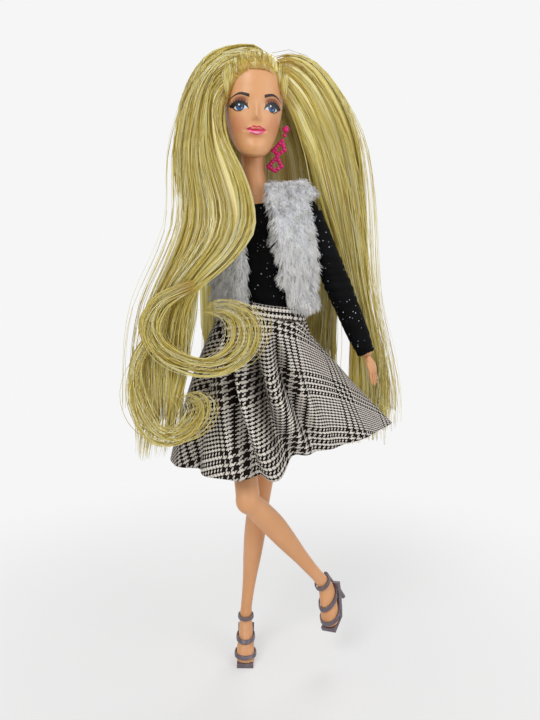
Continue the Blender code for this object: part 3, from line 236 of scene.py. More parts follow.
# Legs. Each leg of the real doll is a soft vinyl skin, moulded in one piece over a click joint
# at the knee, so the skin runs unbroken from the hip to the toes and stretches over the knee.
# It is satin, a little waxy, and warm where light goes in.
doll_vinyl, tree, shader = finish_of("doll_vinyl", Roughness=0.42, IOR=1.5, Subsurface_Weight=0.12,
                                     Subsurface_Scale=0.002, Subsurface_Radius=(1.0, 0.45, 0.25))
feed(shader, "Base Color", ramp(tree, grain(tree, 60.0), (0.3, "#DB9E6B"), (0.7, "#E2A878")))
bump(shader, grain(tree, 2200.0, 1.0), 0.05)

joint_at = {each["name"]: Vector(each["pos_m"]) for each in frame["record"]["behaviour"]["joints"]}


def turned(angle, axis):
    """A rotation by an angle in degrees."""
    return Matrix.Rotation(radians(angle), 4, axis)


def rounded(angle, power):
    """An angle's cosine and sine on a form from an ellipse, at power 2, to a squarer one."""
    return [abs(v) ** (2 / power) * (1 if v > 0 else -1) for v in (cos(angle), sin(angle))]


def at(base, turn, x, y, z):
    """A place in millimetres along the axes of a turned part, from its base."""
    return base + turn.to_3x3() @ Vector((x, y, z)) * MM


def ring(turn, centre, wide, deep, sides=40, power=2.0):
    """Points round a turned part's Z axis, with its half width and half depth in millimetres."""
    return [at(centre, turn, wide * c, deep * s, 0)
            for c, s in (rounded(2 * pi * k / sides, power) for k in range(sides))]


def skin_over(rings, closed=True):
    """The points and faces over rings of equal length, with the ends filled where closed."""
    sides = len(rings[0])
    faces = []
    for row in range(len(rings) - 1):
        for k in range(sides):
            a, b = row * sides + k, row * sides + (k + 1) % sides
            faces.append((a, a + sides, b + sides, b))
    if closed:
        faces.append(tuple(range(sides)))
        faces.append(tuple(len(rings) * sides - 1 - k for k in range(sides)))
    return [p for each in rings for p in each], faces


def append_skin(points, faces, rings):
    """Add the skin over more rings to a mesh's points and faces."""
    start = len(points)
    more_points, more_faces = skin_over(rings)
    points += more_points
    faces += [tuple(start + k for k in face) for face in more_faces]


def hermite(a, b, m, n, t):
    """The smooth curve from a to b with slopes m and n, at a share t of the way."""
    return ((2 * t**3 - 3 * t**2 + 1) * a + (t**3 - 2 * t**2 + t) * m
            + (3 * t**2 - 2 * t**3) * b + (t**3 - t**2) * n)


def between(rows, step):
    """The rows of a table, each a tuple, smoothly joined with about step between first values."""
    table = np.array(rows, float)
    keys = table[:, 0]
    slopes = np.gradient(table, keys, axis=0)
    count = max(2, int(abs(keys[-1] - keys[0]) / step))
    out = []
    for place in np.linspace(keys[0], keys[-1], count + 1):
        k = min(max(int(np.searchsorted(keys, place)) - 1, 0), len(keys) - 2)
        width = keys[k + 1] - keys[k]
        t = (place - keys[k]) / width
        out.append(hermite(table[k], table[k + 1], slopes[k] * width, slopes[k + 1] * width, t))
    return out


def stack(turn, base, rows, step, way):
    """Rings along a limb from its table, going up its Z axis, or down where way is -1."""
    return [ring(turn, at(base, turn, 0, back, way * along), wide, deep)
            for along, wide, deep, back in between(rows, step)]


def melted(made, voxel, rounds):
    """Join a piece's overlapping parts into one skin, and smooth it."""
    step = made.modifiers.new("joined", "REMESH")
    step.mode, step.voxel_size, step.use_smooth_shade = "VOXEL", voxel, True
    step = made.modifiers.new("smoothed", "SMOOTH")
    step.factor, step.iterations = 0.5, rounds
    graph = bpy.context.evaluated_depsgraph_get()
    mesh = bpy.data.meshes.new_from_object(made.evaluated_get(graph))
    made.modifiers.clear()
    made.data = mesh
    mesh.shade_smooth()
    return made


PELVIS_LEAN = 9.0
KNEE_LEAN = 4.0
# Each hip's swing, spread and turn and each knee's bend at rest, in degrees
LEG_POSE = {"left": (1.8, 1.5, 0.0, 0.0), "right": (-20.4, -16.6, -50.0, 45.4)}
SIGN = {"left": 1, "right": -1}
SHIN_MM = 60.0
# Millimetres below the hip, half width, half depth and the shift to the back
THIGH_ROWS = [(9.3, 7.6, 7.6, 0), (19, 7.2, 7.65, 0), (35, 6.2, 6.6, -0.15), (48, 5.4, 5.75, -0.2),
              (56, 5.25, 5.5, -0.35), (61, 5.3, 5.6, -0.5)]
# Millimetres below the knee, half width, half depth and the shift to the back
SHIN_ROWS = [(4, 5.2, 5.3, -0.1), (10, 5.25, 5.6, 0.3), (19, 5.2, 5.8, 0.7), (30, 4.5, 5.1, 0.5),
             (43, 3.35, 3.8, 0.2), (53, 2.85, 3.2, 0), (57.5, 2.75, 3.05, 0)]
# Millimetres below the ankle, half width, half depth and the shift to the toes
FOOT_ROWS = [(2.0, 2.95, 3.3, -0.1), (5.7, 3.2, 4.2, 0.2), (9.5, 3.45, 5.7, 1.9), (13.2, 3.85, 5.6, 4.2),
             (16.8, 4.3, 4.75, 7.1), (19.3, 4.5, 4.5, 8.7), (21.0, 4.2, 4.3, 8.9)]
TOES = [(-3.3, 12.0, 0.95), (-1.75, 13.1, 1.0), (-0.1, 13.5, 1.05), (1.5, 13.4, 1.1), (3.2, 12.5, 1.45)]
LEG_STEP_MM, FOOT_STEP_MM, LEG_VOXEL_MM = 1.2, 0.8, 0.38
KNEE_RINGS, KNEE_HIGH, KNEE_HALF, KNEECAP_MM = 8, 5.2, (5.3, 5.55), 0.75
TOE_ROWS, TOE_SIDES, TOE_LONG, TOE_BACK, TOE_DOWN = 7, 10, 2.1, 2.0, 20.4


def leg_turns(side):
    """The directions of a thigh and its shin at rest."""
    swing, spread, twist, bend = LEG_POSE[side]
    thigh = turned(PELVIS_LEAN, "Y") @ turned(swing, "X") @ turned(spread, "Y") @ turned(twist, "Z")
    return thigh, thigh @ turned(bend, "X") @ turned(-SIGN[side] * KNEE_LEAN, "Y")


for side, sign in SIGN.items():
    thigh, shin = leg_turns(side)
    mirror = Matrix.Diagonal((sign, 1, 1, 1))
    foot = shin @ mirror @ leg_turns("left")[1].inverted() @ mirror
    hip, knee = joint_at[f"hip_{side}_turn"], joint_at[f"knee_{side}_bend"]
    ankle = at(knee, shin, 0, 0, -SHIN_MM)
    rings = stack(thigh, hip, THIGH_ROWS, LEG_STEP_MM, -1)
    bend = LEG_POSE[side][3]
    for k in range(1, KNEE_RINGS):
        # The kneecap stands out at the front as the skin goes round the joint
        part = k / KNEE_RINGS
        turn = thigh @ turned(bend * part, "X") @ turned(-sign * KNEE_LEAN * part, "Y")
        cap = KNEECAP_MM * sin(pi * part)
        centre = at(knee, turn, 0, -0.45 - cap * 0.4, KNEE_HIGH / 2 - KNEE_HIGH * part)
        rings.append(ring(turn, centre, KNEE_HALF[0], KNEE_HALF[1] + 0.5 * cap))
    rings += stack(shin, knee, SHIN_ROWS, LEG_STEP_MM, -1)
    for down, wide, deep, front in between(FOOT_ROWS, FOOT_STEP_MM):
        share = min(down / 6, 1)
        turn = shin.to_quaternion().slerp(foot.to_quaternion(), share).to_matrix().to_4x4()
        rings.append(ring(turn, at(ankle, foot, 0, -front, -down), wide, deep,
                          power=2.0 + 0.5 * share * (down > 15)))
    points, faces = skin_over(rings)
    for x, front, radius in TOES:
        rows = []
        for row in range(TOE_ROWS):
            polar = pi * (row + 0.5) / TOE_ROWS
            y, reach = TOE_BACK - front - TOE_LONG * cos(polar), radius * sin(polar)
            rows.append([at(ankle, foot, sign * x + reach * cos(a), y, 0.9 * reach * sin(a) - TOE_DOWN)
                         for a in (2 * pi * k / TOE_SIDES for k in range(TOE_SIDES))])
        append_skin(points, faces, rows)
    leg = melted(piece(f"leg_skin_{side}", points, faces, doll_vinyl), LEG_VOXEL_MM * MM, 6)
    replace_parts(leg, f"thigh_{side}", f"shin_{side}", f"knee_pin_{side}")
    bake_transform(leg)
    repaint(doll_vinyl, f"hip_ball_{side}", f"hip_peg_{side}")

# Trunk and neck. The trunk is two moulded halves of hard plastic and hardly shows under the
# clothes. The neck is smooth skin that widens into the shoulders above the top's neckline.
repaint(doll_vinyl, "trunk_front", "trunk_back", "neck_knob", "shoulder_peg_left", "shoulder_peg_right")

CHEST_LEAN, NECK_MM = -5.6, 24.0
chest_turn = turned(CHEST_LEAN, "Y")
head_pivot = joint_at["head_turn"]
neck_base = at(head_pivot, chest_turn, 0, 0, -NECK_MM)
# Height over the neck's base, half width, half depth and the shift to the back, in millimetres
NECK_ROWS = [(-4.4, 13.6, 6.9, 0.3), (-2.2, 11.2, 6.7, 0.4), (0.4, 7.4, 6.2, 0.5), (3, 5.9, 5.6, 0.5),
             (6.5, 5.3, 5.35, 0.5), (14, 5.2, 5.3, 0.5), (21.0, 5.25, 5.3, 0.5)]
neck = piece("neck_skin", *skin_over(stack(chest_turn, neck_base, NECK_ROWS, 0.8, 1)), doll_vinyl)
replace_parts(neck, "neck_column")
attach(neck, "torso")

# Head. A hollow soft vinyl head, rotation moulded in one piece with its nose, lips and chin,
# and snapped over the neck's knob. It is smoother and paler than the body. Blush and eyeshadow
# are sprayed on through a mask, so their edges are soft.
face_frame = Matrix.Translation(head_pivot + Vector((0.6, 0, 0)) * MM) @ turned(2.2, "Y") @ turned(7.0, "Z")
# Height over the neck's pivot, half width, half depth and the shift to the front
HEAD_ROWS = [(-7.9, 1.2, 1.2, 10.4), (-7.3, 3.6, 3.3, 9.9), (-6.2, 5.6, 5.3, 8.5), (-4.0, 7.5, 7.9, 6.2),
             (-1.0, 9.1, 10.1, 3.9), (3.0, 10.6, 12.0, 2.3), (7.5, 11.8, 13.6, 1.3), (13, 12.8, 14.9, 0.5),
             (20, 13.3, 15.7, -0.2), (28, 12.3, 14.8, -0.9), (33.0, 9.4, 11.7, -1.3), (35.6, 6.4, 8.0, -1.4),
             (37.0, 2.6, 3.2, -1.4)]
# Side, height, width, height spread and the rise of each soft form of the face, in millimetres
FACE_FORMS = [
    (0, 13.2, 1.1, 2.4, 0.75), (0, 10.4, 1.05, 1.8, 1.25), (0, 8.5, 1.2, 1.05, 1.75),
    (1.45, 7.6, 0.7, 0.75, 0.75), (6.5, 12.9, 3.0, 2.3, -0.95), (6.6, 12.5, 2.5, 1.5, 0.60),
    (6.0, 17.2, 3.6, 1.5, 0.30), (6.8, 5.4, 3.2, 3.4, 0.65), (0, 2.8, 3.9, 2.9, 0.75),
    (1.15, 3.75, 1.5, 0.5, 0.50), (0, 1.75, 2.3, 0.62, 0.80), (0, 2.85, 3.3, 0.2, -0.42),
    (4.4, 3.05, 0.8, 0.6, -0.35), (0, -0.1, 2.6, 0.75, -0.45), (0, -3.8, 3.0, 2.0, 0.85),
    (0, 5.1, 0.45, 0.8, -0.22),
]
HEAD_STEP_MM, HEAD_COLUMNS, HEAD_POWER = 0.36, 150, 2.15
SCALP_STEP_MM, SCALP_COLUMNS, SCALP_MM = 0.3, 180, 0.35


def face_rise(x, z):
    """How far the sprung vinyl stands out of the plain egg of the head at a place."""
    rise = 0
    for side_shift, height, wide, tall, amount in FACE_FORMS:
        for sign in ((1,) if side_shift == 0 else (1, -1)):
            off = ((x - sign * side_shift) / wide) ** 2 + ((z - height) / tall) ** 2
            rise += amount * exp(-off / 1.4) if off < 14 else 0
    return rise


def head_skin(outwards, step, columns):
    """Points and faces of the head's form in its own millimetres. outwards(x, y, z) adds to it."""
    rings = []
    for z, wide, deep, front in between(HEAD_ROWS, step):
        row = []
        for k in range(columns):
            t = 2 * (k + 0.5) / columns - 1
            c, s = rounded(-pi / 2 + pi * t * (0.62 + 0.38 * abs(t)), HEAD_POWER)
            x, y = wide * c, deep * s - front
            more = outwards(x, y, z)
            rise = face_rise(x, z) * min(1, max(0, -s) * 1.6) if more == 0 else 0
            row.append(Vector((x + more * c, y + more * s - rise, z + more * 0.8 * max(0, (z - 26) / 11))))
        rings.append(row)
    return skin_over(rings)


face_vinyl, tree, shader = finish_of("face_vinyl", Roughness=0.38, IOR=1.5, Subsurface_Weight=0.15,
                                     Subsurface_Scale=0.002, Subsurface_Radius=(1.0, 0.5, 0.3))
spot = add(tree, "TexCoord").outputs["Object"]
face_tone_and_shade = add(tree, "RGB")
face_tone_and_shade.outputs[0].default_value = tone("#E4A976")
EYE_X, EYE_Z = 6.75, 12.6
SHADOW, BLUSH = "#8F4C34", "#D97F62"
# Each patch's centre in the face's own millimetres, its reach sideways and upwards, its
# strength and its colour: sprayed eyeshadow and blush, and last a painted shade under the lower lip
for x, z, wide, tall, strength, code in (
    (EYE_X + 0.2, EYE_Z + 2.5, 4.4, 2.4, 0.95, SHADOW), (-EYE_X - 0.2, EYE_Z + 2.5, 4.4, 2.4, 0.95, SHADOW),
    (EYE_X + 1.4, 5.4, 6.5, 5.5, 0.35, BLUSH), (-EYE_X - 1.4, 5.4, 6.5, 5.5, 0.35, BLUSH),
    # Painted shade: a soft darker brown under the lower lip
    (0, 1.0, 5.5, 3.6, 0.16, "#C9714F"),
):
    away = vectors(tree, "SUBTRACT", spot, face_frame @ (Vector((x, -13, z)) * MM))
    scaled = vectors(tree, "MULTIPLY", away, (1 / (wide * MM), 90.0, 1 / (tall * MM)))
    mask = mapped(tree, vectors(tree, "LENGTH", scaled), (0.35, 1.0), (strength, 0.0),
                  interpolation_type="SMOOTHSTEP")
    face_tone_and_shade = mixed(tree, mask, face_tone_and_shade, tone(code))
feed(shader, "Base Color", face_tone_and_shade)
bump(shader, grain(tree, 1800.0, 1.0), 0.04)

points, faces = head_skin(lambda x, y, z: 0, HEAD_STEP_MM, HEAD_COLUMNS)
face_tree = BVHTree.FromPolygons(points, faces)
head = piece("head_skin", [face_frame @ (p * MM) for p in points], faces, face_vinyl)
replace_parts(head, "head")
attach(head, "head")

# Face paint. Eyes, lashes, brows and lips are pad-printed on the vinyl in thin gloss enamel.
# Each colour is a film that follows the skin under it, 0.03 to 0.09 mm off it.
paints = []
for name, code, roughness in (
    ("eye_white", "#DFE1E4", 0.3), ("iris_ring", "#0B1E36", 0.2), ("iris_blue", "#1F5E97", 0.2),
    ("lash_black", "#120E12", 0.35), ("glint_white", "#FFFFFF", 0.15), ("brow_brown", "#33201F", 0.6),
    # The palest lip pink is a painted highlight on the lower lip
    ("lip_deep", "#CF1F4C", 0.22), ("lip_pink", "#EA5680", 0.2), ("lip_painted_highlight", "#F6A9BF", 0.2),
):
    enamel, tree, shader = finish_of(name, Roughness=roughness, IOR=1.5)
    shade = mapped(tree, grain(tree, 4000.0, 1.0), (0, 1), (0.88, 1.08))
    feed(shader, "Base Color", vectors(tree, "MULTIPLY", tone(code)[:3], shade))
    paints.append(enamel)
WHITE, RING, BLUE, LASH, GLINT, BROW, LIP_DEEP, LIP_PINK, LIP_PAINTED_HIGHLIGHT = range(9)
film_points, film_faces, film_paints = [], [], []


def on_face(x, z, lift):
    """The place on the face's skin at a side and height, lifted off it by a film's thickness."""
    hit, normal = face_tree.ray_cast(Vector((x, -40, z)), Vector((0, 1, 0)))[:2]
    if hit is None:
        hit, normal = face_tree.find_nearest(Vector((x, -4, z)))[:2]
    if normal.dot(hit) < 0:
        normal = -normal
    return face_frame @ ((hit + normal * lift) * MM)


def curve_at(line, t):
    """A smooth curve through a line's points, at a share of its length in points."""
    count = len(line) - 1
    k = min(int(t * count), count - 1)
    a, b = np.array(line[k], float), np.array(line[k + 1], float)
    before = np.array(line[k - 1], float) if k else 2 * a - b
    after = np.array(line[k + 2], float) if k + 2 <= count else 2 * b - a
    return hermite(a, b, (b - before) / 2, (after - a) / 2, t * count - k)


def film(low, high, paint, lift, columns=22, rows=5):
    """A patch of face paint between two curves on the face."""
    start = len(film_points)
    for i in range(columns + 1):
        a, b = curve_at(low, i / columns), curve_at(high, i / columns)
        for j in range(rows + 1):
            x, z = a + (b - a) * j / rows
            film_points.append(on_face(x, z, lift))
    for i in range(columns):
        for j in range(rows):
            k = start + i * (rows + 1) + j
            film_faces.append((k, k + rows + 1, k + rows + 2, k + 1))
            film_paints.append(paint)


def disc(x, z, radius, paint, lift):
    """A printed round spot on the face."""
    arc = [(x + radius * cos(pi * k / 8), z + radius * sin(pi * k / 8)) for k in range(9)]
    film([(px, 2 * z - pz) for px, pz in arc], arc, paint, lift, columns=24, rows=8)


def stroke(start, end, width, tip, lift, columns):
    """A printed lash, as wide at its root as width each way and at its tip as tip."""
    film([(start[0] - width, start[1]), end], [(start[0] + width, start[1]), (end[0] + tip, end[1])],
         LASH, lift, columns=columns, rows=1)


for sign in SIGN.values():
    def at_eye(*spots):
        """Places given outwards and upwards from the middle of the iris."""
        return [(sign * (EYE_X + x), EYE_Z + z) for x, z in spots]

    film(at_eye((-3.0, -0.85), (-2.0, -1.05), (-0.3, -1.45), (1.2, -1.4), (2.2, -0.85), (2.9, -0.1)),
         at_eye((-3.0, -0.8), (-2.2, 0.4), (-0.6, 1.2), (1.0, 1.25), (2.2, 0.7), (2.9, 0.0)), WHITE, 0.03)
    disc(sign * (EYE_X + 0.1), EYE_Z, 1.72, RING, 0.05)
    disc(sign * (EYE_X + 0.1), EYE_Z - 0.2, 1.32, BLUE, 0.06)
    disc(sign * (EYE_X + 0.1), EYE_Z + 0.1, 0.8, LASH, 0.07)
    disc(sign * EYE_X - 0.55, EYE_Z + 0.75, 0.36, GLINT, 0.09)
    disc(sign * EYE_X + 0.6, EYE_Z - 0.65, 0.17, GLINT, 0.09)
    lid = at_eye((-3.4, -1.15), (-2.4, -0.1), (-0.7, 0.72), (1.0, 0.76), (2.1, 0.05), (2.9, -0.6),
                 (4.1, -0.1))
    fringe = at_eye((-3.5, -1.05), (-2.7, 1.0), (-0.9, 2.15), (1.1, 2.5), (2.7, 2.0), (3.8, 1.2),
                    (4.45, 0.4))
    film(lid, fringe, LASH, 0.08, columns=36)
    for k in range(9):
        # Printed lash tips fan out from the lid
        t = 0.16 + 0.1 * k
        x, z = curve_at(fringe, t)
        lean = sign * (-0.35 + 1.35 * t)
        stroke((x, z - 0.25), (x + lean * (0.55 + 0.55 * t), z + 1.15 - 0.75 * t**2), 0.2, 0.03, 0.08, 4)
    film(at_eye((-0.6, -2.0), (1.3, -1.9), (2.6, -1.2), (3.5, 0.2)),
         at_eye((-0.5, -1.8), (1.2, -1.62), (2.35, -0.9), (3.3, 0.4)), LASH, 0.06, rows=2)
    for k in range(4):
        x, z = sign * (EYE_X + 1.0 + 0.62 * k), EYE_Z - 1.95 + 0.3 * k + 0.08 * k * k
        stroke((x, z + 0.12), (x + sign * 0.3, z - 0.5), 0.1, sign * 0.03, 0.06, 3)
    film(at_eye((-3.4, 3.55), (-1.7, 4.2), (0.6, 4.7), (2.7, 4.2), (4.75, 3.0)),
         at_eye((-3.6, 4.85), (-1.7, 5.45), (0.6, 5.7), (2.8, 4.75), (4.8, 3.1)), BROW, 0.04, columns=28)
LIP_X = 0.3


def at_mouth(*spots):
    """Places given sideways from the middle of the mouth, and as heights on the face."""
    return [(LIP_X + x, z) for x, z in spots]


mouth_line = at_mouth((-4.2, 3.2), (-2.1, 2.8), (0, 2.85), (2.1, 2.8), (4.2, 3.2))
upper_edge = at_mouth((-4.3, 3.25), (-2.6, 4.2), (-1.1, 4.75), (0, 4.4), (1.1, 4.75), (2.6, 4.2), (4.3, 3.25))
lower_edge = at_mouth((-4.1, 3.1), (-2.6, 1.65), (0, 0.95), (2.6, 1.65), (4.1, 3.1))
film(mouth_line, upper_edge, LIP_DEEP, 0.03, columns=30)
film(lower_edge, mouth_line, LIP_PINK, 0.03, columns=30, rows=7)
# A paler pink patch in the middle of the lower lip is a painted highlight
film(at_mouth((-1.9, 1.95), (0, 1.35), (1.9, 1.95)), at_mouth((-1.9, 2.05), (0, 2.2), (1.9, 2.05)),
     LIP_PAINTED_HIGHLIGHT, 0.045)
film([(x, z - 0.12) for x, z in mouth_line], [(x, z + 0.12) for x, z in mouth_line], LIP_DEEP, 0.05, rows=2)
face_paint = piece("face_paint", film_points, film_faces, *paints)
face_paint.data.polygons.foreach_set("material_index", film_paints)
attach(face_paint, "head")

# Hair. Blond saran fibre, rooted in plugs along the hairline, combed up over the crown and down
# both sides in two heavy falls, with two loose curls in front. The fibre is a smooth plastic
# thread, so it shines in bands. Real threads are 0.08 mm thick, drawn here at about 0.28 mm.
STRIPS = 1024


def own_tone(tree, lane):
    """How far a place is along its thread, and a random value that each thread has for itself."""
    parts = add(tree, "SeparateXYZ", {0: lane})
    number = maths(tree, "FLOOR", maths(tree, "MULTIPLY", parts.outputs["X"], float(STRIPS)))
    return parts.outputs["Y"], add(tree, "TexWhiteNoise", {"W": number}, noise_dimensions="1D")


nylon_hair, tree, shader = finish_of("combed_saran_hair", Roughness=0.34, IOR=1.53)
lane = add(tree, "UVMap", uv_map="OFBake")
along, thread = own_tone(tree, lane)
stretched = vectors(tree, "MULTIPLY", lane, (46.0, 3.2, 1.0))
lock = add(tree, "TexNoise", {"Vector": stretched, "Scale": 1.0, "Detail": 2.0})
lock_tone = mapped(tree, lock, (0.3, 0.7), (-0.1, 0.78))
blond = ramp(tree, maths(tree, "MULTIPLY_ADD", thread, 0.5, lock_tone), (0.0, "#83620A"), (0.2, "#B89622"),
             (0.45, "#DFCB64"), (0.72, "#F3E796"), (1.0, "#FFFAD8"))
# Threads are darker and more golden near their roots: painted shade where they leave the scalp under the
# other hair
root_shade_share = mapped(tree, along, (0.0, 0.10), (0.85, 0.0))
feed(shader, "Base Color", mixed(tree, root_shade_share, blond, tone("#C4952A")))
SKULL, SKULL_TOP_MM = np.array(HEAD_ROWS), 41
# Shares of a thread's length: the rise off the scalp, the swelling of its bundle and its tip
RISE, SWELL, TIP = 0.13, 0.22, 0.1
# Each axis with how far its locks wave, and how far each thread waves and is set aside
LOCK_WAVES, THREAD_WAVE, THREAD_SPREAD_MM = ((0, 1.3), (1, 0.9)), 0.25, 0.3
STRAY_SIDEWAYS_MM, STRAY_FORWARD_MM = 4.5, 1.2
# The hairline is the upper half of an ellipse on the face, and the crown is combed over a dome,
# in the head's own millimetres. The outermost guides leave the hairline at CROWN_SWEEP radians
HAIRLINE_HALF_MM, HAIRLINE_RISE_MM, HAIRLINE_FOOT_MM = 12.7, 16.6, 14
CROWN_HALF_MM, CROWN_DEEP_MM, CROWN_TALL_MM, CROWN_FOOT_MM = 17.5, 15.4, 24.0, 13
CROWN_SWEEP, CROWN_START_MM, CROWN_LIFT_MM, CROWN_STEPS = 1.45, 25.5, 2.2, 10


def threads(name, paths, radii, strips, material):
    """Closed three-sided threads as one mesh: n paths of m points, with a radius at each point."""
    count, length = paths.shape[:2]
    along = np.gradient(paths, axis=1)
    along /= np.linalg.norm(along, axis=2, keepdims=True) + 1e-9
    across = np.cross(along, (0.13, 1.0, 0.07))
    across /= np.linalg.norm(across, axis=2, keepdims=True) + 1e-9
    third = np.cross(along, across)
    sides = [paths + radii[..., None] * (across * cos(a) + third * sin(a)) for a in (0.3, 2.4, 4.5)]
    points = np.stack(sides, axis=2).reshape(-1, 3)
    base = (np.arange(count)[:, None, None] * length + np.arange(length - 1)[None, :, None]) * 3
    k = np.arange(3)[None, None, :]
    beside = (k + 1) % 3
    quads = np.stack([base + k, base + 3 + k, base + 3 + beside, base + beside], axis=-1).reshape(-1, 4)
    first = np.arange(count)[:, None] * length * 3
    last = first + (length - 1) * 3
    caps = np.concatenate([first + np.array([0, 1, 2]), last + np.array([2, 1, 0])])
    mesh = bpy.data.meshes.new(name)
    mesh.vertices.add(len(points))
    mesh.vertices.foreach_set("co", (points * MM).ravel())
    corners = np.concatenate([quads.ravel(), caps.ravel()])
    mesh.loops.add(len(corners))
    mesh.loops.foreach_set("vertex_index", corners)
    sizes = np.concatenate([np.full(len(quads), 4), np.full(len(caps), 3)])
    mesh.polygons.add(len(sizes))
    mesh.polygons.foreach_set("loop_start", np.concatenate([[0], np.cumsum(sizes)[:-1]]))
    mesh.polygons.foreach_set("loop_total", sizes)
    u = (strips[:, None, None] + np.array([0.1, 0.35, 0.6])[None, None, :]) / STRIPS
    v = np.broadcast_to(np.linspace(0.005, 0.995, length)[None, :, None], (count, length, 3))
    chart = np.stack([np.broadcast_to(u, v.shape), v], axis=-1).reshape(-1, 2)
    wrap = np.tile(np.array([0, 0, 1, 1]), len(quads)) * (np.repeat(np.tile([0, 0, 1], len(quads) // 3), 4))
    spread = chart[corners]
    spread[: len(wrap), 0] += wrap * 0.75 / STRIPS
    mesh.uv_layers.new(name="OFBake").data.foreach_set("uv", spread.ravel())
    mesh.update()
    mesh.validate()
    mesh.materials.append(material)
    mesh.shade_smooth()
    return placed(name, mesh)


def evened(line, count):
    """A line's smooth curve as equally spaced points."""
    fine = np.array([curve_at(line, t) for t in np.linspace(0, 0.9999, 90)])
    reach = np.concatenate([[0], np.cumsum(np.linalg.norm(np.diff(fine, axis=0), axis=1))])
    marks = np.linspace(0, reach[-1], count)
    return np.stack([np.interp(marks, reach, fine[:, k]) for k in range(3)], axis=1)


def off_skull(paths, clear):
    """Move points that would be inside the head out to its skin plus a clearance."""
    to_face, back = np.array(face_frame.inverted()), np.array(face_frame)
    flat = (paths.reshape(-1, 3) * MM @ to_face[:3, :3].T + to_face[:3, 3]) / MM
    x, y, z = flat.T
    wide, deep, front = [np.interp(z, SKULL[:, 0], SKULL[:, k]) for k in (1, 2, 3)]
    top = np.clip((SKULL_TOP_MM - z) / 6, 0, 1) ** 0.5
    q = np.hypot(x / (wide + clear), (y + front) / (deep + clear)) + 1e-6
    push = np.where((z > -6) & (z < SKULL_TOP_MM) & (q < top), top / q, 1.0)
    flat = np.stack([x * push, (y + front) * push - front, z], axis=1)
    return ((flat * MM @ back[:3, :3].T + back[:3, 3]) / MM).reshape(paths.shape)


def pixels(*rows):
    """A guide given as picture places with a depth, in millimetres of the frame."""
    return [tuple(seen(px, py, y) / MM) for px, py, y in rows]


def on_scalp(place):
    """The place on the scalp straight under one in the hair."""
    middle_of_head = Vector((0, 0, 16))
    way = face_frame.inverted() @ (Vector(place) * MM) / MM - middle_of_head
    hit = face_tree.ray_cast(middle_of_head, way)[0]
    return tuple(face_frame @ ((hit + way.normalized() * 0.15) * MM) / MM)


def own_head(made, hangs=True):
    """Hair that doesn't hang rides on the head. What hangs has its placing baked into its points."""
    if hangs:
        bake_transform(made)
    else:
        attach(made, "head")


def sampled(lines, spots):
    """Each line at places that are counted in its own points."""
    k = np.minimum(spots.astype(int), lines.shape[1] - 2)
    rows = np.arange(len(lines))[:, None]
    return lines[rows, k] + (lines[rows, k + 1] - lines[rows, k]) * (spots - k)[..., None]


def between_rails(rails, order):
    """Lines between neighbouring rails, at places that are counted in rails."""
    low = np.minimum(order.astype(int), len(rails) - 2)
    part = (order - low)[:, None, None]
    return rails[low] * (1 - part) + rails[low + 1] * part


def core_of(name, loop, material):
    """A closed band from points round and along it, charted so that its streaks run along it."""
    around, length = loop.shape[:2]
    core = piece(name, *skin_over([[Vector(p) * MM for p in loop[:, j]] for j in range(length)]), material)
    chart = core.data.uv_layers.new(name="OFBake")
    for poly in core.data.polygons:
        spots = [core.data.loops[c].vertex_index for c in poly.loop_indices]
        columns = [s % around for s in spots]
        wraps = max(columns) - min(columns) > around // 2
        for c, s, column in zip(poly.loop_indices, spots, columns):
            u = (column + (around if wraps and column < around // 2 else 0)) / (around + 1)
            chart.data[c].uv = (u, 0.1 + 0.88 * (s // around) / length)
    return core


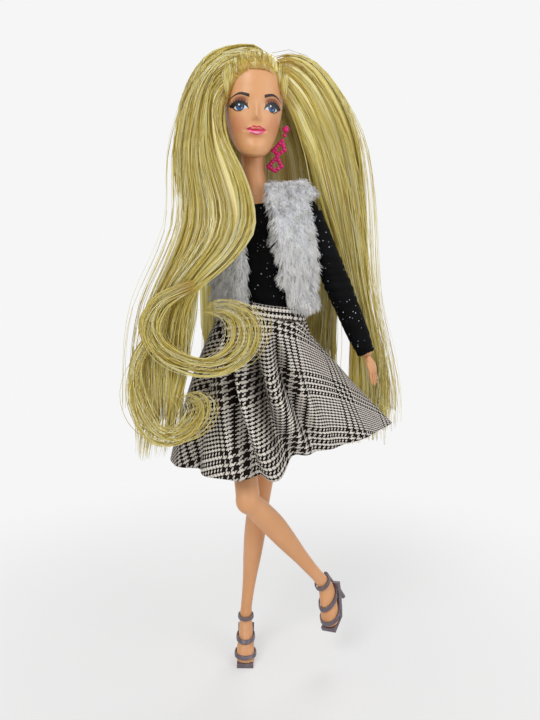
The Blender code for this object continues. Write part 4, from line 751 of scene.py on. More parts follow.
def fall(name, guides, count, thick, seed, length=28, radius=0.14, wave=1.0, loose=0.05, locks=26,
         ragged=0.1, rooted=False, cored=True, behind=False):
    """A bundle of threads between guide lines, gathered in locks, over a streaked solid core."""
    rng = np.random.default_rng(seed)
    rails = np.stack([evened(g, length) for g in guides])
    if rooted:
        # The threads leave the scalp itself, and rise to their guides
        sunk = np.array([on_scalp(rail[0]) for rail in rails])[:, None]
        rise = np.clip(1 - np.linspace(0, 1, length) / RISE, 0, 1)[None, :, None] ** 2
        rails = rails + (sunk - rails[:, :1]) * rise
    last = len(guides) - 1
    centre = np.sort(rng.uniform(0, last, locks))
    which = rng.integers(0, locks, count)
    order = np.clip(centre[which] + rng.normal(0, 0.6 * last / locks, count), 0, last)
    sorting = np.argsort(order)
    order, which = order[sorting], which[sorting]
    paths = between_rails(rails, order)
    t = np.linspace(0, 1, length)[None, :]
    swell = np.clip(t / SWELL, 0, 1) ** 0.7
    depth = rng.uniform(0, 1, locks)[which] * 0.5 + rng.uniform(0, 1, count) ** 1.6 * 0.5
    depth = 1 - depth if behind else depth
    paths[..., 1] += depth[:, None] * thick * swell
    for axis, amount in LOCK_WAVES:
        a, b = rng.uniform(0, 6.3, locks)[which][:, None], rng.uniform(0, 6.3, count)[:, None]
        f = rng.uniform(0.7, 1.7, locks)[which][:, None]
        waves = amount * np.sin(6.3 * f * t + a) + THREAD_WAVE * np.sin(9 * t + b)
        paths[..., axis] += wave * swell * waves
        paths[..., axis] += swell * rng.normal(0, THREAD_SPREAD_MM, count)[:, None]
    away = (rng.uniform(0, 1, count) < loose)[:, None]
    paths[..., 0] += away * swell * t * rng.normal(0, STRAY_SIDEWAYS_MM, count)[:, None]
    paths[..., 1] -= away * swell * np.abs(rng.normal(0, STRAY_FORWARD_MM, count))[:, None]
    short = 1 - ragged * rng.uniform(0, 1, (count, 1)) ** 2
    paths = off_skull(sampled(paths, np.clip(t * short, 0, 1) * (length - 1)), 0.6)
    radii = radius * (0.55 + 0.45 * np.clip(t / 0.08, 0, 1)) * (0.25 + 0.75 * np.clip((1 - t) / TIP, 0, 1))
    radii = radii * rng.uniform(0.75, 1.2, (count, 1))
    strips = np.arange(count)
    strips = strips * ((STRIPS - 1) // max(1, count - 1)) if count < STRIPS else strips % STRIPS
    bundle = threads(name, paths, radii, strips.astype(float), nylon_hair)
    own_head(bundle)
    if not cored:
        return bundle
    front = between_rails(rails, np.linspace(0, last, last * 5 + 1))
    rear = front.copy()
    share = np.sin(np.linspace(0.12, pi - 0.12, len(front)))[:, None] ** 0.6
    # The core lies within the threads on both faces, and thins out before they end
    slim = share * np.clip((0.92 - t) / 0.35, 0, 1)
    faces_at = (0.35 + 0.3 * (1 - share) + 0.1 * (1 - slim), 0.4 + 0.35 * slim)
    near, far = (1 - faces_at[1], 1 - faces_at[0]) if behind else faces_at
    front[..., 1] += near * thick * swell - 0.05
    rear[..., 1] += np.maximum(far, near) * thick * swell + 0.15
    # The core starts off the scalp and stops short of the tips, raggedly, where the threads part
    ends = 0.88 - ragged * 0.2 + rng.uniform(-0.06, 0.06, len(front))
    marks = np.linspace(0.03 if rooted else 0.08, 1, length)[None, :]
    marks = marks * np.concatenate([ends, ends[::-1]])[:, None] * (length - 1)
    loop = off_skull(sampled(np.concatenate([front, rear[::-1]]), marks), 0.3)
    own_head(core_of(f"{name}_core", loop, nylon_hair))
    return bundle


def rooted_area(x, y, z):
    """How far a place of the head is inside the rooted area, below zero on the face."""
    if z > HAIRLINE_FOOT_MM:
        off = hypot(x / HAIRLINE_HALF_MM, (z - HAIRLINE_FOOT_MM) / HAIRLINE_RISE_MM) - 1
        return min(1.0, max(-1.0, off * 14 if y < 2 else 1))
    return min(1.0, max(-1.0, (y + 0.5) / 1.5)) if z > -3 else -1.0


# The scalp is painted golden where it is rooted, so the plugs don't show between threads
scalp_paint, tree, shader = finish_of("painted_rooted_scalp", Roughness=0.55)
feed(shader, "Base Color", ramp(tree, grain(tree, 1300.0), (0.35, "#9A7A22"), (0.65, "#D9B853")))
points, faces = head_skin(lambda x, y, z: -0.1 + SCALP_MM * rooted_area(x, y, z), SCALP_STEP_MM,
                          SCALP_COLUMNS)
scalp = piece("hair_scalp", [face_frame @ (p * MM) for p in points], faces, scalp_paint)
own_head(scalp, hangs=False)


def scalp_at(share):
    """A guide from the hairline over the crown and down the back, in millimetres of the frame."""
    sweep = share * CROWN_SWEEP
    x0, z0 = HAIRLINE_HALF_MM * sin(sweep), HAIRLINE_FOOT_MM + HAIRLINE_RISE_MM * cos(sweep)
    reach = (1 - (x0 / CROWN_HALF_MM) ** 2) ** 0.5
    start = np.arcsin(min(0.98, (z0 - HAIRLINE_FOOT_MM) / (CROWN_START_MM * reach)))
    line = []
    for k in range(CROWN_STEPS + 1):
        angle = start + (pi * 1.02 - start) * k / CROWN_STEPS
        lift = CROWN_LIFT_MM * min(1, k / 1.5)
        line.append((x0 * (1 + 0.10 * sin(pi * k / CROWN_STEPS)),
                     -0.4 - (CROWN_DEEP_MM * reach + lift) * cos(angle),
                     CROWN_FOOT_MM + (CROWN_TALL_MM * reach + lift) * sin(angle)))
    return [tuple(face_frame @ (Vector(p) * MM) / MM) for p in line]


crown = [scalp_at(share) for share in np.linspace(-1, 1, 11)]
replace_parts(fall("hair_crown_threads", crown, 760, 0.9, 11, length=16, wave=0.3, loose=0.01, locks=60),
            "hair_crown")

# Each guide runs from the hairline to the tips, as pixels of the picture with a depth in millimetres
cheek_guides = [
    pixels((226, 92, -8), (222, 100, -7), (223, 118, -9), (229, 143, -14), (243, 169, -20),
           (253, 197, -26), (256, 225, -28), (248, 243, -28), (230, 264, -28), (206, 282, -27),
           (190, 292, -27), (182, 320, -26), (180, 360, -26), (178, 400, -26), (176, 438, -26)),
    pixels((232, 78, -10), (224, 90, -8), (217, 110, -9), (218, 135, -12), (228, 160, -18),
           (240, 185, -23), (246, 210, -27), (244, 232, -28), (228, 256, -28), (205, 277, -28),
           (187, 293, -27), (176, 320, -26), (174, 360, -26), (173, 400, -26), (172, 430, -26)),
    pixels((241, 71, -10.5), (236, 63, -8), (224, 66, -5), (210, 85, -5), (207, 130, -10), (212, 160, -16),
           (222, 190, -22), (228, 215, -26), (222, 240, -27), (206, 262, -27), (188, 285, -27),
           (178, 305, -26), (170, 340, -26), (168, 380, -26), (166, 420, -26)),
    pixels((252, 66.5, -10), (248, 57, -7), (236, 54, -4), (216, 66, -2), (202, 95, -4), (198, 140, -9),
           (201, 170, -15), (207, 200, -21), (208, 225, -25), (200, 250, -26), (185, 275, -26),
           (172, 300, -26), (163, 340, -26), (160, 380, -26), (158, 425, -26)),
    pixels((262, 66, -10), (259, 54, -6), (248, 49, -1), (228, 52, 3), (206, 72, 3), (193, 105, 0),
           (190, 150, -8), (191, 180, -14), (194, 205, -20), (191, 230, -23), (182, 255, -24),
           (171, 280, -25), (160, 305, -25), (152, 340, -25), (150, 380, -25), (148, 415, -25)),
    pixels((270, 68, -9), (268, 54, -5), (258, 47.5, 2), (238, 48, 8), (214, 58, 9), (196, 82, 8),
           (187, 115, 4), (182, 150, -1), (183, 175, -8), (185, 200, -14), (184, 225, -18),
           (176, 250, -21), (165, 275, -23), (154, 300, -24), (146, 335, -24), (142, 375, -24),
           (140, 405, -24)),
]
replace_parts(fall("hair_fall_right_threads", cheek_guides, 980, 7.0, 21, locks=34, rooted=True),
            "hair_fall_right")
wide_guides = [
    pixels((276, 50, 9), (258, 45, 8), (238, 45, 10), (214, 55, 12), (197, 78, 13), (186, 108, 11),
           (180, 140, 7), (180, 165, 2), (183, 190, -4)),
    pixels((276, 48, 12), (250, 44, 14), (222, 48, 16), (202, 62, 17), (188, 88, 17), (180, 120, 14),
           (176, 150, 9), (176, 175, 3), (179, 200, -3)),
]
fall("hair_swoop_right_threads", wide_guides, 240, 4.0, 22, length=20, locks=9, ragged=0.5, rooted=True,
     cored=False)

shoulder_guides = [
    pixels((284, 88, -6), (287, 98, -4), (293, 114, -1), (302, 140, 4), (312, 162, 9), (318, 183, 13),
           (325, 208, 16), (334, 236, 17), (342, 268, 18), (349, 297, 18), (353, 330, 18), (352, 370, 18),
           (350, 410, 18), (348, 445, 18)),
    pixels((281, 78, -7), (288, 86, -4), (299, 108, 0), (312, 140, 6), (322, 170, 11), (330, 200, 15),
           (338, 230, 17), (346, 262, 18), (352, 295, 18), (358, 330, 18), (360, 370, 18), (360, 410, 18),
           (362, 445, 18)),
    pixels((277, 70, -6), (288, 72, -3), (305, 92, 1), (320, 122, 6), (331, 155, 11), (339, 190, 15),
           (344, 220, 17), (350, 255, 18), (356, 290, 18), (364, 330, 18), (368, 370, 18), (370, 410, 18),
           (372, 440, 18)),
    pixels((275, 62, -2), (290, 60, 0), (311, 76, 4), (329, 106, 8), (341, 140, 12), (348, 175, 16),
           (352, 210, 18), (356, 245, 19), (360, 285, 19), (368, 325, 19), (376, 370, 19), (380, 405, 19),
           (382, 430, 19)),
    pixels((273, 57, 3), (292, 53, 5), (315, 64, 8), (336, 92, 12), (350, 125, 15), (357, 160, 18),
           (360, 195, 19), (361, 230, 20), (362, 270, 20), (366, 310, 20), (378, 355, 20), (386, 395, 20),
           (388, 425, 20)),
    pixels((272, 53, 8), (290, 50, 11), (313, 60, 14), (335, 86, 17), (350, 115, 19), (360, 150, 21),
           (363, 190, 22), (364, 230, 22), (365, 270, 22), (369, 310, 22), (380, 350, 22), (388, 385, 22),
           (389, 410, 22)),
]
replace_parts(fall("hair_fall_left_threads", shoulder_guides, 880, 6.0, 31, locks=30, rooted=True),
            "hair_fall_left")

BACK_LINE = ((9, 289.5), (15.5, 286.5), (20.5, 280), (23.5, 262), (24, 240), (26.5, 200), (31, 160),
             (33, 118))
BACK_TOP, BACK_ROOTS, BACK_SPREAD, BACK_LEFT = 289, 9, 18, 15
back_guides = []
for share in np.linspace(-1, 1, 9):
    back_guides.append([])
    for y, z in BACK_LINE:
        down = max(0, BACK_TOP - z)
        wide = BACK_ROOTS + BACK_SPREAD * min(1, down / 42) ** 0.8
        back_guides[-1].append((4 + share * wide + max(0, share) * BACK_LEFT * min(1, down / 60), y, z))
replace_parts(fall("hair_back_threads", back_guides, 1040, 3.6, 41, locks=30, ragged=0.4, rooted=True,
                 behind=True), "hair_back")


def banded(widths, *rows):
    """Three guides side by side along a line of picture places, with the band's width in pixels."""
    line = np.array([(px, py) for px, py, y in rows], float)
    along = np.gradient(line, axis=0)
    along /= np.linalg.norm(along, axis=1, keepdims=True)
    across = np.stack([-along[:, 1], along[:, 0]], axis=1)
    wide = np.interp(np.linspace(0, 1, len(rows)), np.linspace(0, 1, len(widths)), widths)[:, None]
    return [pixels(*[(p[0], p[1], row[2]) for p, row in zip(line + across * wide * side, rows)])
            for side in (-0.5, 0, 0.5)]


upper_curl = banded((12, 16, 16, 18, 26, 28, 20, 12), (197, 285, -27.5), (178, 293, -29), (160, 303, -30),
                    (148, 323, -31), (152, 342, -31), (168, 357, -31.5), (191, 366, -32), (213, 367, -32.5),
                    (233, 359, -33), (245, 346, -33), (248, 331, -32.5), (243, 318, -32), (231, 310, -32),
                    (217, 308, -32), (207, 313, -32))
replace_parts(fall("hair_curl_upper_threads", upper_curl, 125, 2.6, 51, length=36, radius=0.12, wave=1.5,
                 locks=26, loose=0.25, cored=False), "hair_curl_upper")
lower_curl = banded((11, 15, 15, 16, 18, 14, 9), (158, 333, -27), (147, 347, -28.5), (138, 365, -29.5),
                    (135, 387, -30), (139, 408, -30), (150, 428, -30.5), (168, 438, -31), (187, 431, -31),
                    (198, 418, -31), (199, 404, -31), (191, 397, -31), (184, 401, -31))
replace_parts(fall("hair_curl_lower_threads", lower_curl, 110, 2.4, 61, length=34, radius=0.12, wave=1.2,
                 locks=18, loose=0.25, cored=False), "hair_curl_lower")
straight_guides = [
    pixels((199, 276, -24), (195, 300, -24.5), (191, 330, -25), (186, 365, -26), (180, 400, -27),
           (175, 440, -27)),
    pixels((192, 280, -24), (185, 303, -25), (177, 340, -25), (171, 385, -26), (165, 425, -26),
           (161, 458, -26)),
    pixels((185, 282, -24), (172, 305, -25), (160, 345, -25), (152, 390, -25), (146, 430, -25),
           (143, 462, -25)),
    pixels((180, 272, -24), (163, 300, -25), (149, 340, -25), (139, 385, -25), (133, 425, -25),
           (131, 452, -25)),
]
fall("hair_straight_threads", straight_guides, 220, 2.2, 71, length=18, wave=0.8, locks=15, ragged=0.5,
     cored=False)

# Single threads have come loose round the outline
STRAY_POINTS, STRAY_THICK_MM = 24, 0.18
rng = np.random.default_rng(81)
strays = []
for out, rails, count in ((-1, cheek_guides[2:], 64), (1, shoulder_guides[2:], 46)):
    for k in range(count):
        rail = evened(rails[rng.integers(0, len(rails))], STRAY_POINTS)
        t = np.linspace(0, 1, STRAY_POINTS)[:, None]
        swing = rng.uniform(1, 9) * np.sin(pi * np.clip(t - 0.12, 0, 1) * rng.uniform(0.7, 1.2))
        swing = swing * np.clip(t / 0.3, 0, 1)
        lift = 0.35 * swing * rng.uniform(-1, 1)
        strays.append(rail + np.concatenate([out * swing, -0.2 * swing, lift], axis=1))
strays = off_skull(np.array(strays), 0.8)
wisps = threads("hair_stray_threads", strays, np.full(strays.shape[:2], STRAY_THICK_MM / 2),
                rng.integers(0, STRIPS, len(strays)).astype(float), nylon_hair)
own_head(wisps)

# Earrings. Small pink glass-look beads strung into two open triangles, one under the other,
# below a larger bead at the ear. They are glossy plastic, and the chain hangs from the ear.
bead_plastic, tree, shader = finish_of("glossy_bead_plastic", Roughness=0.18, IOR=1.5)
feed(shader, "Base Color", ramp(tree, grain(tree, 700.0, 1.0), (0.3, "#C20062"), (0.7, "#E01478")))
# The beads' radius and the step from bead to bead in millimetres, and the picture's pixels for
# the two beads at the ear, each with its radius, and for the corners of the triangles
BEAD_R, BEAD_STEP = 0.98, 1.45
EAR_BEADS = ((286, 129.5, 1.6), (284.5, 135.5, 0.9))
EARRING_LOOPS = (((282, 141), (273, 151), (278.5, 154.5), (284.6, 150), (282, 141)),
                 ((277, 157), (268.3, 166.5), (275.2, 171), (281.5, 166.5), (277, 157)))
hung = {side: [Vector(corner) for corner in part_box(f"earring_{side}")] for side in SIGN}
middle = {side: (low + high) / 2 for side, (low, high) in hung.items()}
depth_now = middle["left"].y / MM
places = [(seen(px, py, depth_now), radius) for px, py, radius in EAR_BEADS]
for line in EARRING_LOOPS:
    for start, end in zip(line, line[1:]):
        a, b = seen(*start, depth_now), seen(*end, depth_now)
        count = max(1, round((b - a).length / MM / BEAD_STEP))
        places += [(a + (b - a) * k / count, BEAD_R) for k in range(count)]
for side in SIGN:
    shape = bmesh.new()
    for place, radius in places:
        off = place - middle["left"]
        if side == "right":
            # The right one is the mirror image, as flat
            off = Vector((-off.x, 0, off.z))
        made = bmesh.ops.create_icosphere(shape, subdivisions=2, radius=radius * MM)
        bmesh.ops.translate(shape, verts=made["verts"], vec=middle[side] + off)
    mesh = bpy.data.meshes.new(f"earring_beads_{side}")
    shape.to_mesh(mesh)
    shape.free()
    mesh.materials.append(bead_plastic)
    mesh.shade_smooth()
    beads = placed(f"earring_beads_{side}", mesh)
    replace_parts(beads, f"earring_{side}")
    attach(beads, f"earring_{side}")

# Top. A tight knit top with long sleeves, cut from thin black stretch jersey with clear glitter
# film printed over it, so it is matt black with scattered bright specks. The knit has no visible
# stitches at this size. Specks are drawn at 0.4 mm, about twice their real size.
glitter_knit, tree, shader = finish_of("black_glitter_jersey", Roughness=0.75, Specular_IOR_Level=0.08)
cells = cells_of(tree, 720.0)
speck = mapped(tree, cells, (0.13, 0.19), (1.0, 0.0))
chance = add(tree, "SeparateColor", {0: cells.outputs["Color"]}).outputs
bright = mapped(tree, chance[1], (0, 1), (0.25, 1.0))
glow = maths(tree, "MULTIPLY", maths(tree, "GREATER_THAN", chance[0], 0.7), bright)
share = maths(tree, "MULTIPLY", speck, glow)
black = ramp(tree, grain(tree, 160.0, 3.0), (0.35, "#040405"), (0.7, "#0A0B0D"))
feed(shader, "Base Color", mixed(tree, share, black, tone("#E9EEF2")))
feed(shader, "Roughness", mapped(tree, share, (0, 1), (0.7, 0.15)))
spot = add(tree, "TexCoord").outputs["Object"]
rib = add(tree, "TexWave", {"Vector": spot, "Scale": 500.0}, bands_direction="Z")
bump(shader, rib.outputs["Fac"], 0.06)


def cloth_of(node, name, voxel, rounds, material, shape=None):
    """The cloth that a plain solid stands for: its form as a fine skin, moved by shape(point)."""
    mesh = bpy.data.objects[node].data.copy()
    mesh.name = name
    mesh.materials.clear()
    mesh.materials.append(material)
    made = melted(placed(name, mesh), voxel * MM, rounds)
    if shape:
        normals = [v.normal.copy() for v in made.data.vertices]
        for vertex, normal in zip(made.data.vertices, normals):
            vertex.co += normal * shape(vertex.co / MM) * MM
        made.data.update()
    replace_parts(made, node)
    return made


def bodice_wrinkles(p):
    """Small pulls across the waist, and a slight unevenness everywhere."""
    low = max(0.0, 1 - abs(p.z - 178) / 12)
    return 0.28 * low * sin(1.15 * p.z + 1.6 * noise.noise(p * 0.09)) + 0.16 * noise.noise(p * 0.16)


top = cloth_of("bodice", "knit_top", 0.62, 2, glitter_knit, bodice_wrinkles)
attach(top, "torso")
SLEEVE_FOLD_MM, SLEEVE_LOOSE_MM, SLEEVE_BENDS_MM = 3.4, 0.8, 5
for side in SIGN:
    shoulder, elbow = joint_at[f"shoulder_{side}_swing"], joint_at[f"elbow_{side}_bend"]
    wrist = joint_at[f"wrist_{side}_turn"]

    def sleeve_folds(p):
        """Rings of slack above and below the elbow, and at the cuff, and small pulls elsewhere."""
        place = p * MM
        near_elbow = exp(-(((place - elbow).length / MM) / 9) ** 2)
        near_cuff = exp(-(((place - wrist).length / MM) / 7) ** 2)
        ripple = sin(2 * pi * p.z / SLEEVE_FOLD_MM + 2.4 * noise.noise(p * 0.12) + 0.3 * p.y)
        loose = SLEEVE_LOOSE_MM * (1 - near_cuff) * min(1, (place - shoulder).length / MM / 14)
        return loose + (0.22 * near_elbow + 0.12 * near_cuff + 0.05) * ripple + 0.16 * noise.noise(p * 0.2)

    sleeve = cloth_of(f"sleeve_{side}", f"knit_sleeve_{side}", 0.5, 2, glitter_knit, sleeve_folds)
    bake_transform(sleeve)
    # The cloth goes on over the round of the shoulder, inside the armhole
    cap = cloth_of(f"upper_arm_{side}", f"knit_shoulder_{side}", 0.4, 2, glitter_knit, lambda p: 0.25)
    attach(cap, f"upper_arm_{side}")
    repaint(doll_vinyl, f"forearm_{side}", f"elbow_pin_{side}")

# Hands. Each is moulded in one piece of harder plastic with its wrist peg, with slim fingers
# held together and a free thumb. The seams between the fingers are soft grooves.
# Sideways (to the back), down from the wrist, and radius, in millimetres
FINGERS = [((-2.2, 6.4, 0.78), (-2.75, 10.2, 0.66), (-2.6, 13.6, 0.48)),
           ((-0.75, 6.7, 0.80), (-0.95, 11.0, 0.70), (-0.85, 14.5, 0.50)),
           ((0.75, 6.6, 0.78), (0.8, 10.6, 0.66), (0.75, 14.0, 0.48)),
           ((2.15, 6.2, 0.72), (2.4, 9.6, 0.60), (2.2, 12.4, 0.42)),
           ((-1.9, 2.6, 1.05), (-3.0, 5.4, 0.92), (-3.35, 8.6, 0.62))]
# Down from the wrist, half the thickness and half the width
PALM = [(0.3, 1.35, 1.35), (1.5, 1.4, 1.5), (3.0, 1.55, 2.3), (5.0, 1.65, 2.85), (7.0, 1.5, 2.9),
        (8.3, 1.0, 2.5)]
THUMB, HAND_TURN, FINGER_RINGS, TIP_SHRINKS = 4, -38, 15, 0.55
for side, sign in SIGN.items():
    wrist = joint_at[f"wrist_{side}_turn"]
    up = (joint_at[f"elbow_{side}_bend"] - wrist).normalized()
    # The hands turn a little, backs to the front, as the arms hang
    out = Matrix.Rotation(radians(HAND_TURN * sign), 3, up) @ (Vector((1, 0, 0)) - up * up.x).normalized()
    hand_turn = Matrix((out, up.cross(out), up)).transposed().to_4x4()
    points, faces = skin_over([ring(hand_turn, at(wrist, hand_turn, 0, 0, -down), thick, wide, 28, 2.3)
                               for down, thick, wide in between(PALM, 0.5)])
    for number, finger in enumerate(FINGERS):
        rows, last = [], len(finger) - 1
        for k in range(FINGER_RINGS):
            t = k / (FINGER_RINGS - 1) * last
            low = min(int(t), last - 1)
            y, down, radius = [a + (b - a) * (t - low) for a, b in zip(finger[low], finger[low + 1])]
            curl = -sign * (0.02 * down**1.7 if number < THUMB else -0.25)
            if k in (0, FINGER_RINGS - 1):
                radius *= TIP_SHRINKS
            rows.append(ring(hand_turn, at(wrist, hand_turn, curl, y, -down), radius * 0.95, radius, 14))
        append_skin(points, faces, rows)
    hand = melted(piece(f"hand_skin_{side}", points, faces, doll_vinyl), 0.16 * MM, 2)
    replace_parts(hand, f"hand_{side}")
    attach(hand, f"hand_{side}")

# Fur vest. A sleeveless open jacket of faux fur: a knitted backing with a pile of fine acrylic
# fibre 2 to 5 mm long, silver grey with darker tufts, lying downwards. It is cut in three pieces,
# a back and two fronts, and sewn at the shoulders and sides.
fur_fibre, tree, shader = finish_of("brushed_acrylic_fur", Roughness=0.55, Sheen_Weight=0.35,
                                    Sheen_Roughness=0.35)
along, thread = own_tone(tree, add(tree, "UVMap", uv_map="OFBake"))
tuft_tone = mapped(tree, grain(tree, 230.0), (0.36, 0.62), (0.12, 0.62))
tip = maths(tree, "MULTIPLY_ADD", along, 0.22, tuft_tone)
# The fur is darker towards the top, near the shoulders, where the pile is shorter
height = add(tree, "SeparateXYZ", {0: add(tree, "TexCoord").outputs["Object"]}).outputs["Z"]
darker_above = mapped(tree, height, (0.200, 0.228), (0.10, -0.16))
shaded = maths(tree, "ADD", maths(tree, "MULTIPLY_ADD", thread, 0.3, tip), darker_above)
grey = ramp(tree, shaded, (0.0, "#8C8B8C"), (0.3, "#C8C7C7"), (0.52, "#EBEAE8"), (0.85, "#FEFDFB"))
feed(shader, "Base Color", grey)
fur_back, tree, shader = finish_of("knitted_fur_backing", Roughness=0.9)
loops = grain(tree, 700.0)
feed(shader, "Base Color", ramp(tree, loops, (0.35, "#B4B6BB"), (0.65, "#DEDFE2")))
bump(shader, loops, 0.6, 0.0005)
FIBRE_RADII_MM, FIBRES_IN_TUFT = (0.10, 0.13, 0.12, 0.09, 0.025), 26
DOWN = np.array([0, 0, -1.0])
# The shortest and longest fibres at the shoulders, how much longer they grow below, and the
# height at which the pile starts to change, with the distance over which it does
PILE_MM, PILE_GROWS_MM, PILE_CHANGES_AT_MM, PILE_CHANGES_OVER_MM = (2.2, 3.4), 1.3, 222, 14
# How far a fibre and a tuft are turned aside, and how much the tips gather and droop
FIBRE_ASIDE, TUFT_ASIDE, TIPS_GATHER, TIPS_DROOP = 0.2, 0.28, 0.42, 0.28
for number, (node, fibres) in enumerate((("vest_back", 7200), ("vest_front_left", 5200),
                                         ("vest_front_right", 4400))):
    rng = np.random.default_rng(90 + number)
    backing = cloth_of(node, f"{node}_backing", 0.8, 3, fur_back,
                       lambda p: -0.3 + 0.7 * noise.noise(p * 0.22) + 0.35 * noise.noise(p * 0.5))
    backing.data.calc_loop_triangles()
    corners = np.array([[backing.data.vertices[i].co / MM for i in each.vertices]
                        for each in backing.data.loop_triangles])
    edges = np.cross(corners[:, 1] - corners[:, 0], corners[:, 2] - corners[:, 0])
    sizes = np.linalg.norm(edges, axis=1)
    picked = rng.choice(len(corners), fibres, p=sizes / sizes.sum())
    a, b = rng.uniform(0, 1, (2, fibres, 1))
    a, b = np.where(a + b > 1, 1 - a, a), np.where(a + b > 1, 1 - b, b)
    roots = corners[picked, 0] * (1 - a - b) + corners[picked, 1] * a + corners[picked, 2] * b
    normals = edges[picked] / sizes[picked, None]
    tufts = roots[rng.choice(fibres, fibres // FIBRES_IN_TUFT, replace=False)]
    near = np.linalg.norm(roots[:, None, :] - tufts[None, :, :], axis=2).argmin(axis=1)
    # The pile lies flatter and grows longer below the shoulders
    low = np.clip((PILE_CHANGES_AT_MM - roots[:, 2:]) / PILE_CHANGES_OVER_MM, 0, 1)
    aside = rng.normal(0, FIBRE_ASIDE, (fibres, 3))
    lean = normals * (0.8 - 0.28 * low) + DOWN * (0.35 + 0.6 * low) + aside
    lean += rng.normal(0, TUFT_ASIDE, (len(tufts), 3))[near]
    lean /= np.linalg.norm(lean, axis=1, keepdims=True)
    reach = rng.uniform(*PILE_MM, (fibres, 1)) + PILE_GROWS_MM * low
    gather = (tufts[near] + lean * reach * 0.9 - roots - lean * reach) * TIPS_GATHER
    t = np.linspace(0, 1, len(FIBRE_RADII_MM))[None, :, None]
    straight = (roots - normals * 0.35)[:, None, :] + (lean * reach)[:, None, :] * t
    paths = straight + gather[:, None, :] * t**1.5 + DOWN * reach[:, :, None] * TIPS_DROOP * t**2
    radii = np.broadcast_to(np.array(FIBRE_RADII_MM), (fibres, len(FIBRE_RADII_MM)))
    fur = threads(f"{node}_fur", paths, radii, rng.integers(0, STRIPS, fibres).astype(float), fur_fibre)
    for each in (backing, fur):
        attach(each, "torso")

# Skirt. Half a circle of woven plaid cloth, gathered a little into a straight waistband. The
# cloth is a twill in dark brown and off-white, checked by bands where five dark threads follow
# on three pale ones, and bands of two and two. Its threads are 0.41 mm, so they just show.
THREAD_MM, REPEAT, WIDE_BAND = 0.41, 72.0, 32.0
FIRST_THREAD = {"X": 9.0, "Y": 7.0}
plaid_twill, tree, shader = finish_of("woven_plaid_twill", Roughness=0.85, Specular_IOR_Level=0.15)
chart = add(tree, "UVMap", uv_map="cloth")
ways = add(tree, "SeparateXYZ", {0: chart})
dark, count_of = [], []
for axis in ("X", "Y"):
    number = maths(tree, "FLOOR", maths(tree, "MULTIPLY", ways.outputs[axis], 1 / (THREAD_MM * MM)))
    begun = maths(tree, "SUBTRACT", number, FIRST_THREAD[axis])
    place = maths(tree, "FLOORED_MODULO", begun, REPEAT)
    wide = maths(tree, "LESS_THAN", place, WIDE_BAND)
    fives, twos = [maths(tree, "LESS_THAN", maths(tree, "FLOORED_MODULO", place, group), inked)
                   for group, inked in ((8.0, 5.0), (4.0, 2.0))]
    dark.append(add(tree, "Mix", {"Factor": wide, 2: twos, 3: fives}, data_type="FLOAT"))
    count_of.append(number)
step = maths(tree, "FLOORED_MODULO", maths(tree, "ADD", *count_of), 4.0)
over = maths(tree, "LESS_THAN", step, 2.0)
shown = add(tree, "Mix", {"Factor": over, 2: dark[1], 3: dark[0]}, data_type="FLOAT")
fuzz = add(tree, "TexNoise", {"Vector": chart, "Scale": 1400.0, "Detail": 2.0})
pale = ramp(tree, fuzz, (0.3, "#CDC5BB"), (0.65, "#ECE6DC"))
deep = ramp(tree, fuzz, (0.3, "#0F0906"), (0.7, "#211710"))
feed(shader, "Base Color", mixed(tree, shown, pale, deep))
bump(shader, over, 0.25)

WAIST_UP_MM, WAIST_HALF = 30, (14, 11)
between_hips = (joint_at["hip_left_turn"] + joint_at["hip_right_turn"]) / 2
pelvis_turn = turned(PELVIS_LEAN, "Y")
waist = Matrix.Translation(at(between_hips, pelvis_turn, 0, 0, WAIST_UP_MM)) @ pelvis_turn
BAND_TOP_MM, BAND_BOTTOM_MM, BAND_FLARE = 1.35, -4.05, 0.45
SKIRT_HALF = (19.33, 16.33)
SKIRT_DROP, SKIRT_DEEPEN, SKIRT_SWAY, SKIRT_FORWARD = 61.0, 11.5, 5.5, 4.0
FLARE_RIGHT, FLARE_LEFT = 30.5, 32.5
HEM_LEAN, FRONT_DROP, CLOTH_MM = -6.0, 8.0, 0.8
# The cut: half a circle, from the waist's radius to the hem's, in millimetres
CUT_INNER, CUT_OUTER, CUT_ANGLE = 38.0, 106.0, 180.0
# Angle round the waist from the doll's left, at the waist and at the hem, depth and half angle
VALLEYS = [(-112, -82, 13.0, 4.6), (-131, -101, 8.0, 4.0), (-84, -71, 7.5, 4.0), (-150, -140, 4.5, 5),
           (-40, -32, 1.2, 9), (20, 20, 3.0, 9), (55, 55, 3.4, 9), (90, 90, 3.0, 8), (125, 125, 3.4, 9),
           (160, 160, 3.0, 9)]
COLUMNS, ROWS = 540, 48
# Soft waves round the hem, and fine gathers under the band that end at a share of the drop
HEM_WAVES, HEM_WAVE_MM = 9, 1.1
GATHERS, GATHER_MM, GATHERS_END = 46, 0.35, 0.22


def eased(share):
    """A share of the way that starts and ends softly."""
    return share * share * (3 - 2 * share)


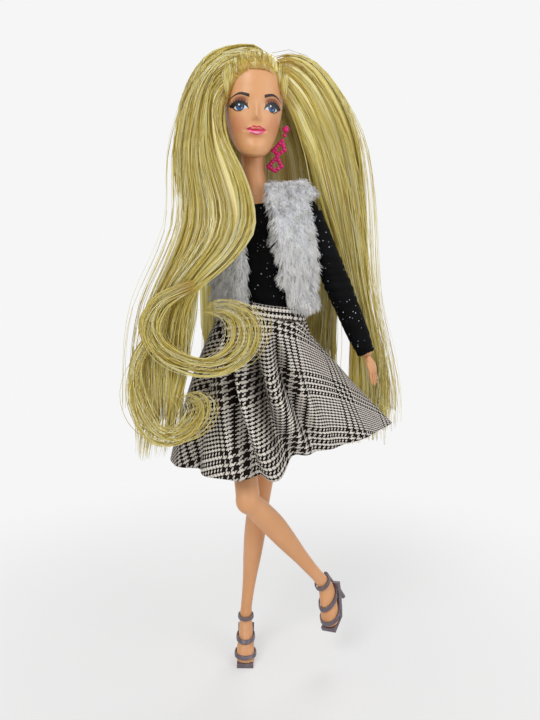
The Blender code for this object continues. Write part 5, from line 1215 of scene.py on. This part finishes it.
def skirt_at(share, angle, inside=0.0):
    """A point of the skirt at a share of its drop and an angle in degrees round it."""
    turn = radians(angle)
    c, s = cos(turn), sin(turn)
    side = eased((c + 1) / 2)
    slim, full = FLARE_RIGHT * share**0.85, FLARE_LEFT * (0.1 * share + max(0.0, share - 0.1))
    wide = SKIRT_HALF[0] + slim * (1 - side) + full * side
    deep = SKIRT_HALF[1] + SKIRT_DEEPEN * share**0.6
    fold = HEM_WAVE_MM * share * cos(HEM_WAVES * turn) + share - inside
    for at_waist, at_hem, depth, half in VALLEYS:
        off = (angle - at_waist - (at_hem - at_waist) * share + 180) % 360 - 180
        grown = min(1.0, share / 0.4) ** 1.1 * (1 - 0.35 * max(0.0, share - 0.6) / 0.4)
        ridges = 0.42 * exp(-((abs(off) - 2.2 * half) / (1.1 * half)) ** 2)
        fold += grown * depth * (ridges - exp(-((off / half) ** 2)))
    gathers = max(0.0, 1 - share / GATHERS_END) * min(1.0, share / 0.02)
    fold += GATHER_MM * gathers * cos(GATHERS * turn + 2 * sin(5 * turn))
    fold += 0.35 * share * noise.noise(Vector((c * 2.2, s * 2.2, share * 3)))
    # In front the doll's right half hangs lower, and left of the deepest fold the hem swings up
    past = eased(min(1.0, max(0.0, (angle + 91) / 12))) if angle < 0 else 0.0
    low = FRONT_DROP * share * s * s * (1 - 0.85 * past) - 0.8 * share * past - 4.2 * share * side**2
    lean = PELVIS_LEAN + (HEM_LEAN - PELVIS_LEAN) * share
    centre = waist @ (Vector((0, 0, BAND_BOTTOM_MM - 0.3)) * MM)
    centre += Vector((SKIRT_SWAY, -SKIRT_FORWARD, -SKIRT_DROP)) * share * MM
    return centre + turned(lean, "Y").to_3x3() @ (Vector(((wide + fold) * c, (deep + fold) * s, -low)) * MM)


def charted(made, name, places):
    """Give a mesh a UV map from a list of places, one for each face corner."""
    chart = made.data.uv_layers.new(name=name)
    chart.data.foreach_set("uv", [v for place in places for v in place])


def corners_of(row, k):
    """The corners of a grid's face as rows and columns, which run on past the seam."""
    return ((row, k), (row + 1, k), (row + 1, k + 1), (row, k + 1))


levels = [(k / ROWS, 0.0) for k in range(ROWS + 1)] + [(1 - k / ROWS, CLOTH_MM) for k in range(ROWS + 1)]
angles = [-270 + 360 * k / COLUMNS for k in range(COLUMNS)]
points = [skirt_at(share, (a + 180) % 360 - 180, inside) for share, inside in levels for a in angles]
faces, flat_places, bake_places = [], [], []
for row in range(len(levels) - 1):
    for k in range(COLUMNS):
        faces.append(tuple(r * COLUMNS + c % COLUMNS for r, c in corners_of(row, k)))
        for r, c in corners_of(row, k):
            reach = (CUT_INNER + (CUT_OUTER - CUT_INNER) * levels[r][0]) * MM
            turn = radians((360 * c / COLUMNS - 180) * CUT_ANGLE / 360)
            flat_places.append((reach * sin(turn), reach * cos(turn)))
            bake_places.append((c / COLUMNS, (r + 0.5) / len(levels)))
last = (len(levels) - 1) * COLUMNS
for k in range(COLUMNS):
    faces.append((last + k, k, (k + 1) % COLUMNS, last + (k + 1) % COLUMNS))
    flat_places += [(0, 0)] * 4
    bake_places += [((k + d) / COLUMNS, e) for d, e in ((0, 0.999), (0, 0.9995), (1, 0.9995), (1, 0.999))]
skirt = piece("plaid_skirt", points, faces, plaid_twill)
charted(skirt, "OFBake", bake_places)
charted(skirt, "cloth", flat_places)
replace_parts(skirt, "skirt")
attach(skirt, "torso")

# The band's check: where its cloth begins, how long it is, and how far apart its rows lie on it
BAND_COLUMNS, BAND_CLOTH_MM, BAND_FROM_MM, BAND_ROW_MM = 160, 108, 33.5, 0.84
band_rows = []
for z, out in ((BAND_BOTTOM_MM, 3.5), (BAND_BOTTOM_MM + 0.25, 3.62), (-2.7, 3.6), (-1.3, 3.62), (0.2, 3.58),
               (BAND_TOP_MM - 0.25, 3.5), (BAND_TOP_MM, 3.3), (BAND_TOP_MM, 2.5), (-1.3, 2.32),
               (BAND_BOTTOM_MM, 2.32)):
    wide, deep = [half + out - BAND_FLARE * min(z, 0) for half in WAIST_HALF]
    band_rows.append([])
    for k in range(BAND_COLUMNS):
        a = 2 * pi * k / BAND_COLUMNS
        x, y = (wide + 0.1 * sin(11 * a)) * cos(a), (deep + 0.1 * cos(13 * a)) * sin(a)
        band_rows[-1].append(waist @ (Vector((x, y, z + 0.12 * sin(5 * a))) * MM))
points, faces = skin_over(band_rows + band_rows[:1], closed=False)
points = points[: len(band_rows) * BAND_COLUMNS]
band = piece("plaid_waistband", points, [tuple(i % len(points) for i in face) for face in faces], plaid_twill)
flat_places, bake_places = [], []
for row in range(len(band_rows)):
    for k in range(BAND_COLUMNS):
        for r, c in corners_of(row, k):
            flat_places.append((c / BAND_COLUMNS * BAND_CLOTH_MM * MM, (BAND_FROM_MM - BAND_ROW_MM * r) * MM))
            bake_places.append((c / BAND_COLUMNS, r / (len(band_rows) + 1)))
charted(band, "OFBake", bake_places)
charted(band, "cloth", flat_places)
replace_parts(band, "waistband")
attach(band, "torso")

# Back closure. A short strip of black hook and loop tape, sewn to the back of the waistband.
tape_finish, tree, shader = finish_of("hook_and_loop_tape", Roughness=0.85)
hooks = cells_of(tree, 2200.0)
feed(shader, "Base Color", ramp(tree, hooks, (0.1, "#2A2A2C"), (0.6, "#0F0F11")))
bump(shader, hooks, 0.7, 0.0003)
tape = cloth_of("skirt_closure", "closure_tape", 0.15, 2, tape_finish)
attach(tape, "torso")

# Sandals. High-heeled strappy sandals, each moulded in one piece of glossy purple-grey vinyl
# and pulled over the foot, so the straps lie close with rounded edges.
sandal_vinyl, tree, shader = finish_of("glossy_sandal_vinyl", Roughness=0.26, IOR=1.5)
feed(shader, "Base Color", ramp(tree, grain(tree, 260.0), (0.3, "#5E535C"), (0.7, "#75696F")))
bump(shader, grain(tree, 1500.0, 1.0), 0.06)
for side in SIGN:
    sandal = cloth_of(f"sandal_{side}", f"moulded_sandal_{side}", 0.2, 2, sandal_vinyl)
    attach(sandal, f"shin_{side}")
